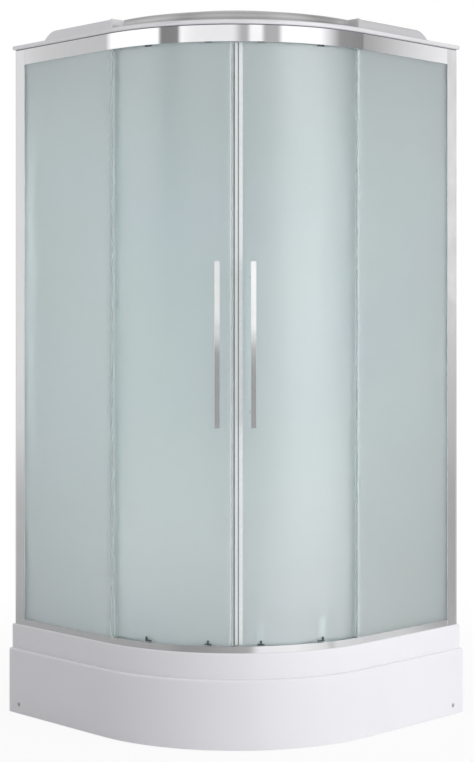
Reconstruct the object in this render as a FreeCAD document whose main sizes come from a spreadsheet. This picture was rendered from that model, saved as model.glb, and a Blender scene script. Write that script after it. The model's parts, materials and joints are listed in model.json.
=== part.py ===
import FreeCAD, Part
import math
import os
import Sketcher

# Quadrant shower cabin. Millimetres, +Z up, origin on the floor under the middle of the
# square footprint. The house walls stand at -X and +Y, and the doors face +X -Y.
# Everything on the right is the mirror image of the left across the vertical plane x = -y.

sizes = {
    # Tray
    "footprint": 1000.0,        # side of the square that the tray covers
    "tray_radius": 550.0,       # plan radius of the round front
    "apron_bottom": 3.0,        # gap under the front apron
    "apron_wall": 4.0,          # apron sheet
    "apron_ledge": 6.0,         # folded top edge of the apron, thickness
    "apron_round": 7.0,         # rounding of the apron's top edge
    "ledge_top": 202.0,         # height where the tray rim lands on the apron
    "rim_inset": 12.0,          # tray rim stands back from the apron
    "rim_top": 276.0,           # height of the tray rim
    "rim_round": 4.0,           # rounding of the rim's outer edge
    "rim_deck": 88.0,           # width of the flat deck round the basin, from the rim face
    "shell_wall": 6.0,          # acrylic and glass fibre shell of the tray
    "basin_depth": 168.0,       # from the rim down to the basin floor
    "basin_draft": 5.0,         # slope of the basin walls, degrees
    # Waste
    "waste_x": -170.0,
    "waste_y": 170.0,
    "waste_hole": 45.0,         # radius of the hole in the basin floor
    "waste_flange": 57.0,       # radius of the flanges above and below the floor
    "waste_plate": 3.0,         # thickness of those flanges
    "waste_neck": 38.0,         # inner radius of the trap body
    "waste_wall": 3.0,
    "trap_bottom": 12.0,        # underside of the trap above the floor
    "outlet_height": 38.0,      # axis of the outlet pipe above the floor
    "outlet_radius": 20.0,
    "outlet_collar": 24.0,      # radius of the collar where the outlet leaves the trap
    "collar_end": 52.0,         # from the trap axis to the end of the collar
    "outlet_length": 110.0,     # from the trap axis to the end of the outlet
    "cover_radius": 54.0,
    "cover_rise": 9.0,
    "cover_wall": 2.0,
    "cover_spigot": 34.0,       # radius of the ring under the cover
    "cover_skirt": 12.0,        # depth of that ring below the seat
    "cover_gap": 0.4,           # the cover's rim hangs this far over the seat
    "waste_thread": 14.0,       # the seat's neck reaches this far below the basin
    "waste_fit": 0.05,          # running fit of the cover's ring in the waste neck
    # Sub-frame and feet
    "bar_width": 30.0,          # square steel tube
    "bar_wall": 2.0,
    "bar_offset": 60.0,         # axes of the two outer bars in from the house walls
    "bar_setback": 30.0,        # front ends of the outer bars behind the apron's face
    "bar_rear_end": 80.0,       # rear ends of the outer bars in from the house walls
    "cross_offset": 270.0,      # axes of the two inner bars in from the front sides
    "foot_pad": 25.0,           # radius of the foot pads
    "foot_pad_height": 12.0,
    "foot_boss": 12.0,          # radius where the pad's cone ends
    "foot_stem": 6.0,
    "foot_fit": 0.05,           # running fit of the stems in their nuts
    "foot_reach": 60.0,         # feet stand this far in from the ends of the outer bars
    "nut_across": 19.0,
    "nut_height": 8.0,
    # Frame: distances marked inset are measured inwards from the tray outline
    "frame_inset": 16.0,        # outer face of rails and profiles
    "rail_depth": 56.0,         # rails, front to back
    "rail_wall": 2.5,
    "bottom_rail_height": 19.0,
    "top_rail_height": 47.0,
    "top_rail_bottom": 2018.0,
    "track_inset": 50.5,        # front edge of the tracks that the wheels run on
    "track_height": 14.0,       # top of the lower track above the tray rim
    "upper_track": 15.0,        # underside of the upper track above the top rail's edge
    "upper_track_plate": 3.0,
    "profile_width": 36.0,      # wall profiles, along the side
    "profile_depth": 40.0,
    "profile_gap": 11.0,        # from the house wall to the profile
    "slot_depth": 14.0,         # how far panes sit in their slots
    "slot_clearance": 0.5,
    "gasket": 3.0,
    "gasket_width": 6.0,
    "post_gap": 6.0,            # from the house walls to the corner post
    "post_width": 36.0,
    "wall_inset": 17.5,         # outer face of the rear walls from the house wall
    "wall_thickness": 5.0,
    "clip_size": 14.0,
    "clip_plate": 2.0,
    "clip_head": 3.5,           # radius of the screw heads on the clips
    "clip_first": 95.0,         # first wall clip below the top of the profiles
    "clip_pitch": 540.0,
    "clip_count": 3,            # on each side
    # Glass
    "glass": 5.0,
    "fixed_inset": 19.0,        # outer face of the fixed panes
    "fixed_overrun": 23.0,      # fixed panes run this far past the end of the straight side
    "door_inset": 33.0,         # outer face of the door panes
    "door_overlap": 1.0,        # degrees that a door pane reaches behind the straight side
    "door_gap": 10.0,           # from the meeting plane to the edge of a door pane
    "door_bottom": 292.0,
    "door_top": 2031.0,
    "seal_lip": 1.6,            # wall of the clear strips that clasp the glass edges
    "seal_grip": 8.0,           # how far they clasp it
    "meeting_gap": 0.4,         # half of the gap between the two magnetic strips
    # Handles
    "handle_angle": 5.4,        # from the meeting plane, degrees
    "handle_width": 16.0,
    "handle_thick": 8.0,
    "handle_length": 475.0,
    "handle_middle": 1154.5,    # height of the handle's middle
    "handle_standoff": 28.0,
    "stud_radius": 5.0,
    "stud_inset": 45.0,         # studs stand this far in from the handle ends
    "stud_fit": 0.05,
    # Rollers
    "roller_near": 8.4,         # angles of the two roller pairs from the meeting plane
    "roller_far": 29.5,
    "wheel_radius": 11.5,
    "wheel_width": 6.0,
    "wheel_bevel": 1.0,
    "wheel_inset": 52.0,        # outer face of the wheels
    "wheel_lift": 0.3,          # running gap over the track
    "axle_radius": 2.5,
    "axle_fit": 0.05,
    "axle_head": 4.2,
    "axle_head_length": 2.0,
    "hanger_width": 22.0,
    "hanger_plate": 2.5,
    "hanger_over": 8.4,         # hanger plates reach this far above their axles
    "hanger_bolt": 2023.0,      # height of the bolt that holds a hanger to the glass
    "hanger_drop": 6.0,         # hanger plates reach this far below their bolts
    "bolt_radius": 3.0,
    "bolt_foot_width": 22.0,    # outer clamp plates on the glass
    "bolt_foot_height": 4.0,
    "bolt_stem_width": 8.0,
    "bolt_stem_height": 15.0,
    "bolt_cap_height": 3.5,
    "guide_bottom": 297.0,      # underside of the lower roller housings
    "guide_bolt": 8.0,          # their bolts stand this far above the underside
    "guide_height": 57.0,
    "guide_width": 26.0,
    "seat_gap": 0.3,            # hangers and housings stand off the curved glass
    "guide_wall": 3.8,          # from the glass to the slider's pocket
    "guide_cap": 7.6,           # solid top of the housings over that pocket
    "slider_width": 14.0,
    "slider_thick": 5.2,
    "slider_below": 6.0,        # sliders reach this far below their axles
    "slider_top": 335.0,
    "slider_fit": 0.3,
    # Roof
    "roof_inset": 9.3,          # overhang edge, from the tray outline
    "roof_rear_inset": 4.0,
    "roof_lip": 15.0,
    "roof_wall": 4.0,
    "dome_inset": 90.0,         # round front face of the raised dome
    "dome_rear_inset": 105.0,
    "dome_rise": 40.0,
    "dome_draft": 12.0,
    "dome_shell": 6.0,          # sheet of the dome, measured in plan
    "crown_inset": 195.0,
    "crown_rise": 30.0,
    "crown_draft": 62.0,
    "crown_shell": 12.0,        # sheet of the crown, measured in plan
    "wing_inset": 50.0,         # side faces of the two wings
    "wing_foot": 99.0,          # start of the wing from the wall end of the roof
    "wing_slope": 75.0,         # length of the wing's rounded end
    "wing_ease": 0.3,           # share of the slope that curves upwards
    "wing_width": 60.0,
    "wing_rise": 36.0,
    "wing_step": 14.0,          # wings stop this far before the round front
    # Apron fixings
    "cap_radius": 6.2,
    "cap_height": 1.8,
    "cap_fit": 0.1,
    "screw_radius": 2.5,
    "screw_length": 12.0,
    "cap_from_end": 48.0,
    "cap_height_up": 31.0,
    "bracket_width": 30.0,
    "bracket_plate": 2.0,
    "overcut": 1.0,             # cutters run this far past the faces that they open
}
same = 0.01                     # levels closer than this are taken as one

doc = FreeCAD.newDocument("ShowerCabin")
sheet = doc.addObject("Spreadsheet::Sheet", "Sizes")
for row, (name, number) in enumerate(sizes.items(), start=1):
    sheet.set(f"A{row}", name)
    sheet.set(f"B{row}", str(number))
    sheet.setAlias(f"B{row}", name)
doc.recompute()

# Expressions that many pieces share
half = "(Sizes.footprint / 2)"
straight = f"({half} - Sizes.tray_radius)"      # end of the straight side, and arc centre
fixedInner = "(Sizes.fixed_inset + Sizes.glass)"
doorInner = "(Sizes.door_inset + Sizes.glass)"
railInner = "(Sizes.frame_inset + Sizes.rail_depth)"
profileFace = f"(-{half} + Sizes.profile_gap + Sizes.profile_width)"
profileBack = "(Sizes.frame_inset + Sizes.profile_depth)"
topRailTop = "(Sizes.top_rail_bottom + Sizes.top_rail_height)"
basinFloor = "(Sizes.rim_top - Sizes.basin_depth)"
basinUnder = f"({basinFloor} - Sizes.shell_wall)"
deckInner = "(Sizes.rim_inset + Sizes.rim_deck)"
lowerTrackTop = "(Sizes.rim_top + Sizes.track_height)"
upperTrackTop = "(Sizes.top_rail_bottom + Sizes.upper_track + Sizes.upper_track_plate)"
wheelDrop = "(Sizes.wheel_lift + Sizes.wheel_radius)"
rimInner = "(Sizes.rim_inset + Sizes.shell_wall)"
wallInner = "(Sizes.wall_inset + Sizes.wall_thickness)"
capX = f"(-{half} + Sizes.cap_from_end)"
apronInner = f"(-{half} + Sizes.apron_wall)"
barBottom = f"({basinUnder} - Sizes.bar_width)"
barFront = f"(-{half} + Sizes.bar_setback)"
barEnd = f"({half} - Sizes.bar_rear_end)"
barSide = f"({half} - Sizes.bar_offset)"
crossSide = f"({half} - Sizes.cross_offset)"
roofTop = f"({topRailTop} + Sizes.roof_lip)"
meeting = "(-45)"
glassOuter = "(Sizes.tray_radius - Sizes.door_inset)"
glassInner = f"(Sizes.tray_radius - {doorInner})"
wheelOuter = "(Sizes.tray_radius - Sizes.wheel_inset)"
wheelInner = f"({wheelOuter} - Sizes.wheel_width)"
guideBolt = "(Sizes.guide_bottom + Sizes.guide_bolt)"
sealBottom = "(Sizes.rim_top + Sizes.bottom_rail_height + Sizes.seal_lip)"
sealTop = "(Sizes.top_rail_bottom - Sizes.seal_lip)"
rollerAngles = {
    "near": f"({meeting} - Sizes.roller_near)",
    "far": f"({meeting} - Sizes.roller_far)",
}
handleHoles = [
    ("high", "(Sizes.handle_middle + Sizes.handle_length / 2 - Sizes.stud_inset)"),
    ("low", "(Sizes.handle_middle - Sizes.handle_length / 2 + Sizes.stud_inset)"),
]
holes = []
for name, level in handleHoles:
    holes.append((f"handle_{name}", f"({meeting} - Sizes.handle_angle)", level,
                  "(Sizes.stud_radius + Sizes.stud_fit)"))
for place, angle in rollerAngles.items():
    for name, level in (("hanger", "Sizes.hanger_bolt"), ("guide", guideBolt)):
        holes.append((f"{name}_{place}", angle, level, "(Sizes.bolt_radius + Sizes.stud_fit)"))

nodes = []


def size(expression):
    """Number that an expression on the sheet gives."""
    return float(sheet.evalExpression(expression.replace("Sizes.", "")))


def keep(shapeObject, label):
    """Names a finished sub-part, which is then written to its own file."""
    shapeObject.Label = label
    nodes.append(shapeObject)
    return shapeObject


def newBody(label, keepIt=True):
    body = doc.addObject("PartDesign::Body", "Body_" + label)
    if keepIt:
        keep(body, label)
    return body


def newSketch(body, plane="XY_Plane", level=None):
    """Sketch on one of the body's own origin planes, raised to a level."""
    sketch = body.newObject("Sketcher::SketchObject", body.Name + "_Sketch")
    origin = [item for item in body.Origin.OriginFeatures if item.Role == plane][0]
    sketch.AttachmentSupport = (origin, [""])
    sketch.MapMode = "FlatFace"
    if level is not None:
        sketch.setExpression("AttachmentOffset.Base.z", level)
    return sketch


def bindDistance(sketch, kind, geometry, vertex, expression):
    number = size(expression)
    index = sketch.addConstraint(Sketcher.Constraint(kind, -1, 1, geometry, vertex, number))
    sketch.setExpression(f"Constraints[{index}]", expression)


def arcBetween(start, end, radius, turn):
    """Shorter arc between two points. turn is 1 anticlockwise, -1 clockwise."""
    chord = end - start
    middle = (start + end) * 0.5
    reach = math.sqrt(max(radius ** 2 - (chord.Length / 2) ** 2, 0))
    left = FreeCAD.Vector(-chord.y, chord.x, 0).normalize()
    centre = middle + left * reach * turn
    first, last = (start, end) if turn > 0 else (end, start)
    angles = [math.atan2(point.y - centre.y, point.x - centre.x) for point in (first, last)]
    circle = Part.Circle(centre, FreeCAD.Vector(0, 0, 1), radius)
    return Part.ArcOfCircle(circle, angles[0], angles[1])


def closedOutline(sketch, corners):
    """Closed outline whose corners are pairs of expressions. A corner may add a turn
    ("ccw" or "cw") and a radius for the arc that leaves it."""
    points = [FreeCAD.Vector(size(corner[0]), size(corner[1]), 0) for corner in corners]
    count = len(corners)
    for number, corner in enumerate(corners):
        start = points[number]
        end = points[(number + 1) % count]
        if len(corner) == 2:
            edge = sketch.addGeometry(Part.LineSegment(start, end), False)
            vertices = (1, 2)
        else:
            turn = 1 if corner[2] == "ccw" else -1
            edge = sketch.addGeometry(arcBetween(start, end, size(corner[3]), turn), False)
            vertices = (1, 2) if turn > 0 else (2, 1)
            index = sketch.addConstraint(Sketcher.Constraint("Radius", edge, size(corner[3])))
            sketch.setExpression(f"Constraints[{index}]", corner[3])
        bindDistance(sketch, "DistanceX", edge, vertices[0], corner[0])
        bindDistance(sketch, "DistanceY", edge, vertices[0], corner[1])
        following = corners[(number + 1) % count]
        bindDistance(sketch, "DistanceX", edge, vertices[1], following[0])
        bindDistance(sketch, "DistanceY", edge, vertices[1], following[1])


def rectangle(sketch, left, low, right, high):
    closedOutline(sketch, [(left, low), (right, low), (right, high), (left, high)])


def circle(sketch, radius, x=None, y=None):
    centre = FreeCAD.Vector(size(x) if x else 0, size(y) if y else 0, 0)
    shape = Part.Circle(centre, FreeCAD.Vector(0, 0, 1), size(radius))
    ring = sketch.addGeometry(shape, False)
    index = sketch.addConstraint(Sketcher.Constraint("Radius", ring, size(radius)))
    sketch.setExpression(f"Constraints[{index}]", radius)
    if x is None and y is None:
        sketch.addConstraint(Sketcher.Constraint("Coincident", ring, 3, -1, 1))
        return
    for kind, onAxis, place in (("DistanceX", -2, x), ("DistanceY", -1, y)):
        if place is None:
            sketch.addConstraint(Sketcher.Constraint("PointOnObject", ring, 3, onAxis))
        else:
            bindDistance(sketch, kind, ring, 3, place)


def quadrant(sketch, inset, rear):
    """Whole plan outline, inset from the tray outline in front and from the walls behind."""
    closedOutline(sketch, [
        (f"-{half} + {rear}", f"-{half} + {inset}"),
        (straight, f"-{half} + {inset}", "ccw", f"Sizes.tray_radius - {inset}"),
        (f"{half} - {inset}", f"-{straight}"),
        (f"{half} - {inset}", f"{half} - {rear}"),
        (f"-{half} + {rear}", f"{half} - {rear}"),
    ])


def band(sketch, outer, inner, end):
    """Strip that follows the front between two insets. end is its left end in X."""
    closedOutline(sketch, [
        (end, f"-{half} + {outer}"),
        (straight, f"-{half} + {outer}", "ccw", f"Sizes.tray_radius - {outer}"),
        (f"{half} - {outer}", f"-{straight}"),
        (f"{half} - {outer}", f"-({end})"),
        (f"{half} - {inner}", f"-({end})"),
        (f"{half} - {inner}", f"-{straight}", "cw", f"Sizes.tray_radius - {inner}"),
        (straight, f"-{half} + {inner}"),
        (end, f"-{half} + {inner}"),
    ])


def pad(body, sketch, length, draft=None):
    feature = body.newObject("PartDesign::Pad", body.Name + "_Pad")
    feature.Profile = sketch
    feature.setExpression("Length", length)
    if draft:
        feature.setExpression("TaperAngle", draft)
    return feature


def pocket(body, sketch, length, upwards=True, draft=None):
    """Cuts from the sketch, along its own normal when upwards."""
    feature = body.newObject("PartDesign::Pocket", body.Name + "_Pocket")
    feature.Profile = sketch
    feature.Reversed = upwards
    feature.setExpression("Length", length)
    if draft:
        feature.setExpression("TaperAngle", draft)
    return feature


def revolve(body, sketch, angle=None, axis="Z_Axis"):
    """Turns the sketch about one of the body's own axes."""
    feature = body.newObject("PartDesign::Revolution", body.Name + "_Revolution")
    feature.Profile = sketch
    line = [item for item in body.Origin.OriginFeatures if item.Role == axis][0]
    feature.ReferenceAxis = (line, [""])
    feature.Angle = 360
    if angle:
        feature.setExpression("Angle", angle)
    return feature


def fillet(body, radius, wanted):
    """Rounds the edges of the body's tip that the test picks."""
    doc.recompute()
    tip = body.Tip
    names = [f"Edge{number}" for number, edge in enumerate(tip.Shape.Edges, start=1) if wanted(edge)]
    feature = body.newObject("PartDesign::Fillet", body.Name + "_Fillet")
    feature.Base = (tip, names)
    feature.setExpression("Radius", radius)
    return feature


def levelAt(edge, height):
    """True for an edge that lies flat at a height."""
    limits = edge.BoundBox
    return abs(limits.ZMin - height) < same and abs(limits.ZMax - height) < same


def reflection(source):
    """Copy across the vertical plane x = -y."""
    copy = doc.addObject("Part::Mirroring", source.Name + "_Mirror")
    copy.Source = source
    copy.Base = FreeCAD.Vector(0, 0, 0)
    copy.Normal = FreeCAD.Vector(1, 1, 0)
    return copy


def mirrored(source, label):
    """Right-hand twin of a left-hand piece."""
    return keep(reflection(source), label)


def stand(item, angle):
    """Sets a piece on the arc centre and turns its local X to an angle in plan."""
    item.Placement = FreeCAD.Placement(FreeCAD.Vector(), FreeCAD.Rotation(FreeCAD.Vector(0, 0, 1), 1))
    item.setExpression("Placement.Base.x", straight)
    item.setExpression("Placement.Base.y", f"-{straight}")
    item.setExpression("Placement.Rotation.Angle", angle)


def group(label, members):
    """Loose solids of one kind kept in one node."""
    compound = doc.addObject("Part::Compound", "Group_" + label)
    compound.Links = members
    return keep(compound, label)


def pair(label, member):
    """A small left-hand piece and its right-hand twin in one node."""
    return group(label, [member, reflection(member)])


def fused(label, members):
    """Union of the members, or the only one of them."""
    if len(members) == 1:
        return members[0]
    result = doc.addObject("Part::MultiFuse", "Fuse_" + label)
    result.Shapes = members
    return result


def turnedCopy(label, member, angle):
    """A piece modelled along local X, stood on the arc centre at an angle."""
    holder = doc.addObject("Part::Compound", "Turned_" + label)
    holder.Links = [member]
    stand(holder, angle)
    return holder


def boolean(kind, label, base, tool, keepIt=False):
    result = doc.addObject("Part::" + kind, kind + "_" + label)
    result.Base = base
    result.Tool = tool
    return keep(result, label) if keepIt else result


def cylinder(name, radius, height, place, axis=None):
    """Part cylinder. place holds three expressions; axis "x" or "y" lays it down."""
    item = doc.addObject("Part::Cylinder", "Cyl_" + name)
    item.setExpression("Radius", radius)
    item.setExpression("Height", height)
    turns = {None: (0, 0, 1, 0), "x": (0, 1, 0, 90), "y": (1, 0, 0, -90)}
    x, y, z, degrees = turns[axis]
    item.Placement = FreeCAD.Placement(FreeCAD.Vector(), FreeCAD.Rotation(FreeCAD.Vector(x, y, z), degrees))
    for letter, expression in zip("xyz", place):
        item.setExpression(f"Placement.Base.{letter}", expression)
    return item


def box(name, low, high):
    """Part box between two corners given as expressions."""
    item = doc.addObject("Part::Box", "Box_" + name)
    for letter, side, near, far in zip("xyz", ("Length", "Width", "Height"), low, high):
        item.setExpression(side, f"({far}) - ({near})")
        item.setExpression(f"Placement.Base.{letter}", near)
    return item


# Tray and apron

def makeTray():
    body = newBody("tray_basin")
    deck = newSketch(body, level="Sizes.rim_top - Sizes.shell_wall")
    quadrant(deck, "Sizes.rim_inset", "0")
    pad(body, deck, "Sizes.shell_wall")
    rimDepth = "Sizes.rim_top - Sizes.shell_wall - Sizes.ledge_top"
    rim = newSketch(body, level="Sizes.ledge_top")
    quadrant(rim, "Sizes.rim_inset", "0")
    pad(body, rim, rimDepth)
    under = newSketch(body, level="Sizes.ledge_top")
    quadrant(under, rimInner, "Sizes.shell_wall")
    pocket(body, under, rimDepth)
    block = newSketch(body, level="Sizes.rim_top - Sizes.shell_wall")
    quadrant(block, f"({deckInner} - Sizes.shell_wall)", "(Sizes.rim_deck - Sizes.shell_wall)")
    basin = pad(body, block, "Sizes.basin_depth", draft="-Sizes.basin_draft")
    basin.Reversed = True
    recess = newSketch(body, level="Sizes.rim_top")
    quadrant(recess, deckInner, "Sizes.rim_deck")
    pocket(body, recess, "Sizes.basin_depth", upwards=False, draft="-Sizes.basin_draft")
    hole = newSketch(body, level=basinUnder)
    circle(hole, "Sizes.waste_hole", "Sizes.waste_x", "Sizes.waste_y")
    pocket(body, hole, "Sizes.shell_wall + Sizes.overcut")
    rimTop = size("Sizes.rim_top")
    face = size(f"{half} - Sizes.rim_inset")

    def frontRim(edge):
        limits = edge.BoundBox
        onFront = abs(limits.YMin + face) < same or abs(limits.XMax - face) < same
        return onFront and levelAt(edge, rimTop)

    fillet(body, "Sizes.rim_round", frontRim)


def makeApron():
    """Front apron with a folded top edge and a recessed screw hole near each end."""
    body = newBody("apron_blank", keepIt=False)
    wall = newSketch(body, level="Sizes.apron_bottom")
    band(wall, "0", "Sizes.apron_wall", f"-{half}")
    pad(body, wall, "Sizes.ledge_top - Sizes.apron_bottom")
    ledge = newSketch(body, level="Sizes.ledge_top - Sizes.apron_ledge")
    band(ledge, "Sizes.apron_wall", rimInner, f"-{half}")
    pad(body, ledge, "Sizes.apron_ledge")
    top = size("Sizes.ledge_top")
    face = size(half)

    def outerTop(edge):
        limits = edge.BoundBox
        onFront = abs(limits.YMin + face) < same or abs(limits.XMax - face) < same
        return onFront and levelAt(edge, top) and edge.Length > size("Sizes.rim_inset") * 2

    fillet(body, "Sizes.apron_round", outerTop)
    place = (capX, f"-{half} - Sizes.overcut", "Sizes.cap_height_up")
    recess = cylinder("cap_recess", "Sizes.cap_radius + Sizes.cap_fit",
                      "Sizes.cap_height + Sizes.overcut", place, "y")
    hole = cylinder("cap_hole", "Sizes.screw_radius + Sizes.cap_fit",
                    "Sizes.apron_wall + 2 * Sizes.overcut", place, "y")
    cutters = fused("cap_cutters", [recess, hole])
    both = fused("cap_cutters_both", [cutters, reflection(cutters)])
    boolean("Cut", "apron_panel", body, both, keepIt=True)


def makeApronFixings():
    """Brackets on the frame bars, the screws through them and the caps over the screws."""
    upright = box("bracket_upright",
                  (f"{capX} - Sizes.bracket_width / 2", apronInner, "Sizes.trap_bottom"),
                  (f"{capX} + Sizes.bracket_width / 2", f"{apronInner} + Sizes.bracket_plate", barBottom))
    flange = box("bracket_flange",
                 (f"{capX} - Sizes.bracket_width / 2", apronInner,
                  f"{barBottom} - Sizes.bracket_plate"),
                 (f"{capX} + Sizes.bracket_width / 2",
                  f"{barFront} + Sizes.bracket_width / 2", barBottom))
    angle = fused("bracket_angle", [upright, flange])
    drilled = cylinder("bracket_hole", "Sizes.screw_radius + Sizes.stud_fit", "Sizes.screw_length",
                       (capX, apronInner, "Sizes.cap_height_up"), "y")
    bracket = boolean("Cut", "bracket", angle, drilled)
    pair("apron_brackets", bracket)
    capBack = f"(-{half} + Sizes.cap_height)"
    screw = cylinder("apron_screw", "Sizes.screw_radius", "Sizes.screw_length",
                     (capX, capBack, "Sizes.cap_height_up"), "y")
    pair("apron_screws", screw)
    cap = cylinder("apron_cap", "Sizes.cap_radius", "Sizes.cap_height",
                   (capX, f"-{half}", "Sizes.cap_height_up"), "y")
    pair("apron_caps", cap)


# Waste

def makeWasteTrap():
    body = newBody("waste_trap")
    outerRadius = "(Sizes.waste_neck + Sizes.waste_wall)"
    shell = newSketch(body, "XZ_Plane")
    closedOutline(shell, [
        ("0", "Sizes.trap_bottom"),
        (outerRadius, "Sizes.trap_bottom"),
        (outerRadius, f"{basinUnder} - Sizes.waste_plate"),
        ("Sizes.waste_flange", f"{basinUnder} - Sizes.waste_plate"),
        ("Sizes.waste_flange", basinUnder),
        ("0", basinUnder),
    ])
    revolve(body, shell)
    outlet = newSketch(body, "XZ_Plane")
    circle(outlet, "Sizes.outlet_radius", y="Sizes.outlet_height")
    pipe = pad(body, outlet, "Sizes.outlet_length")
    pipe.Reversed = True
    root = newSketch(body, "XZ_Plane")
    circle(root, "Sizes.outlet_collar", y="Sizes.outlet_height")
    collar = pad(body, root, "Sizes.collar_end")
    collar.Reversed = True
    hollow = newSketch(body, level="Sizes.trap_bottom + Sizes.waste_wall")
    circle(hollow, "Sizes.waste_neck")
    pocket(body, hollow, f"{basinUnder} - Sizes.trap_bottom")
    bore = newSketch(body, "XZ_Plane")
    circle(bore, "Sizes.outlet_radius - Sizes.waste_wall", y="Sizes.outlet_height")
    pocket(body, bore, "Sizes.outlet_length + Sizes.overcut", upwards=False)
    body.setExpression("Placement.Base.x", "Sizes.waste_x")
    body.setExpression("Placement.Base.y", "Sizes.waste_y")


def turned(label, profile):
    """Round piece on the waste's axis, from a half section."""
    body = newBody(label)
    section = newSketch(body, "XZ_Plane")
    closedOutline(section, profile)
    revolve(body, section)
    body.setExpression("Placement.Base.x", "Sizes.waste_x")
    body.setExpression("Placement.Base.y", "Sizes.waste_y")
    return body


def makeWasteFittings():
    seatTop = f"({basinFloor} + Sizes.waste_plate)"
    neckOuter = "(Sizes.waste_neck - Sizes.waste_fit)"
    neckInner = "(Sizes.cover_spigot + Sizes.waste_fit)"
    neckEnd = f"({basinUnder} - Sizes.waste_thread)"
    turned("waste_seat", [
        (neckInner, neckEnd),
        (neckOuter, neckEnd),
        (neckOuter, basinFloor),
        ("Sizes.waste_flange", basinFloor),
        ("Sizes.waste_flange", seatTop),
        (neckInner, seatTop),
    ])
    coverTop = f"({seatTop} + Sizes.cover_rise)"
    turned("waste_cover", [
        ("Sizes.cover_spigot - Sizes.cover_wall", f"{seatTop} - Sizes.cover_skirt"),
        ("Sizes.cover_spigot", f"{seatTop} - Sizes.cover_skirt"),
        ("Sizes.cover_spigot", f"{seatTop} + Sizes.cover_gap"),
        ("Sizes.cover_radius", f"{seatTop} + Sizes.cover_gap"),
        ("Sizes.cover_radius", f"{seatTop} + Sizes.cover_gap + Sizes.cover_wall"),
        ("Sizes.cover_radius - Sizes.cover_rise", coverTop),
        ("0", coverTop),
        ("0", f"{coverTop} - Sizes.cover_wall"),
        ("Sizes.cover_spigot - Sizes.cover_wall", f"{coverTop} - Sizes.cover_wall"),
    ])


# Sub-frame and feet

def makeBar(label, along, low, high, across, feet):
    """Square tube between two places along X or Y, drilled below for the feet's stems."""
    plane = "YZ_Plane" if along == "x" else "XZ_Plane"
    body = newBody(label, keepIt=False)
    section = newSketch(body, plane)
    outer = "(Sizes.bar_width / 2)"
    rectangle(section, f"-{outer}", f"-{outer}", outer, outer)
    inner = f"({outer} - Sizes.bar_wall)"
    rectangle(section, f"-{inner}", f"-{inner}", inner, inner)
    tube = pad(body, section, f"({high}) - ({low})")
    tube.Reversed = along == "y"
    body.setExpression("Placement.Base.x", low if along == "x" else across)
    body.setExpression("Placement.Base.y", low if along == "y" else across)
    body.setExpression("Placement.Base.z", f"{barBottom} + Sizes.bar_width / 2")
    if not feet:
        return keep(body, label)
    drills = []
    for number, spot in enumerate(feet):
        x, y = (spot, across) if along == "x" else (across, spot)
        drills.append(cylinder(f"{label}_drill{number}", "Sizes.foot_stem + Sizes.foot_fit",
                               "Sizes.bar_wall + 2 * Sizes.overcut", (x, y, f"{barBottom} - Sizes.overcut")))
    return boolean("Cut", label, body, fused(label + "_drills", drills), keepIt=True)


def makeFoot(label, x, y):
    body = newBody(label)
    section = newSketch(body, "XZ_Plane")
    closedOutline(section, [
        ("0", "0"),
        ("Sizes.foot_pad", "0"),
        ("Sizes.foot_pad", "Sizes.foot_pad_height / 2"),
        ("Sizes.foot_boss", "Sizes.foot_pad_height"),
        ("Sizes.foot_stem", "Sizes.foot_pad_height"),
        ("Sizes.foot_stem", f"{barBottom} + Sizes.bar_width / 2"),
        ("0", f"{barBottom} + Sizes.bar_width / 2"),
    ])
    revolve(body, section)
    body.setExpression("Placement.Base.x", x)
    body.setExpression("Placement.Base.y", y)
    nut = doc.addObject("Part::Prism", "Prism_" + label)
    nut.Polygon = 6
    nut.setExpression("Circumradius", "Sizes.nut_across / sqrt(3)")
    nut.setExpression("Height", "Sizes.nut_height")
    nut.setExpression("Placement.Base.x", x)
    nut.setExpression("Placement.Base.y", y)
    nut.setExpression("Placement.Base.z", f"{barBottom} - Sizes.nut_height")
    thread = cylinder(label + "_thread", "Sizes.foot_stem + Sizes.foot_fit", "Sizes.nut_height",
                      (x, y, f"{barBottom} - Sizes.nut_height"))
    return boolean("Cut", label + "_nut", nut, thread)


def makeSubFrame():
    footLeft = f"({barFront} + Sizes.foot_reach)"
    footRear = f"({barEnd} - Sizes.foot_reach)"
    inner = f"({barSide} - Sizes.bar_width / 2)"
    crossEnd = f"({crossSide} + Sizes.bar_width / 2)"
    makeBar("frame_bar_left", "y", barFront, barEnd, f"-{barSide}", [footLeft, footRear])
    makeBar("frame_bar_rear", "x", f"-{barEnd}", f"-{barFront}", barSide, [f"-{footLeft}"])
    makeBar("frame_bar_front", "x", f"-{inner}", crossEnd, f"-{crossSide}", [crossSide])
    makeBar("frame_bar_right", "y", f"-{crossSide} + Sizes.bar_width / 2", inner, crossSide, [])
    feet = {
        "foot_left": (f"-{barSide}", footLeft),
        "foot_rear": (f"-{barSide}", footRear),
        "foot_right": (f"-{footLeft}", barSide),
        "foot_front": (crossSide, f"-{crossSide}"),
    }
    group("foot_nuts", [makeFoot(label, x, y) for label, (x, y) in feet.items()])


# Rails, profiles and walls

def makeRail(label, strips):
    """Extrusion that follows the front. Each strip has its insets and its two levels."""
    body = newBody(label)
    for outer, inner, low, high in strips:
        plan = newSketch(body, level=low)
        band(plan, outer, inner, profileFace)
        pad(body, plan, f"({high}) - ({low})")


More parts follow.
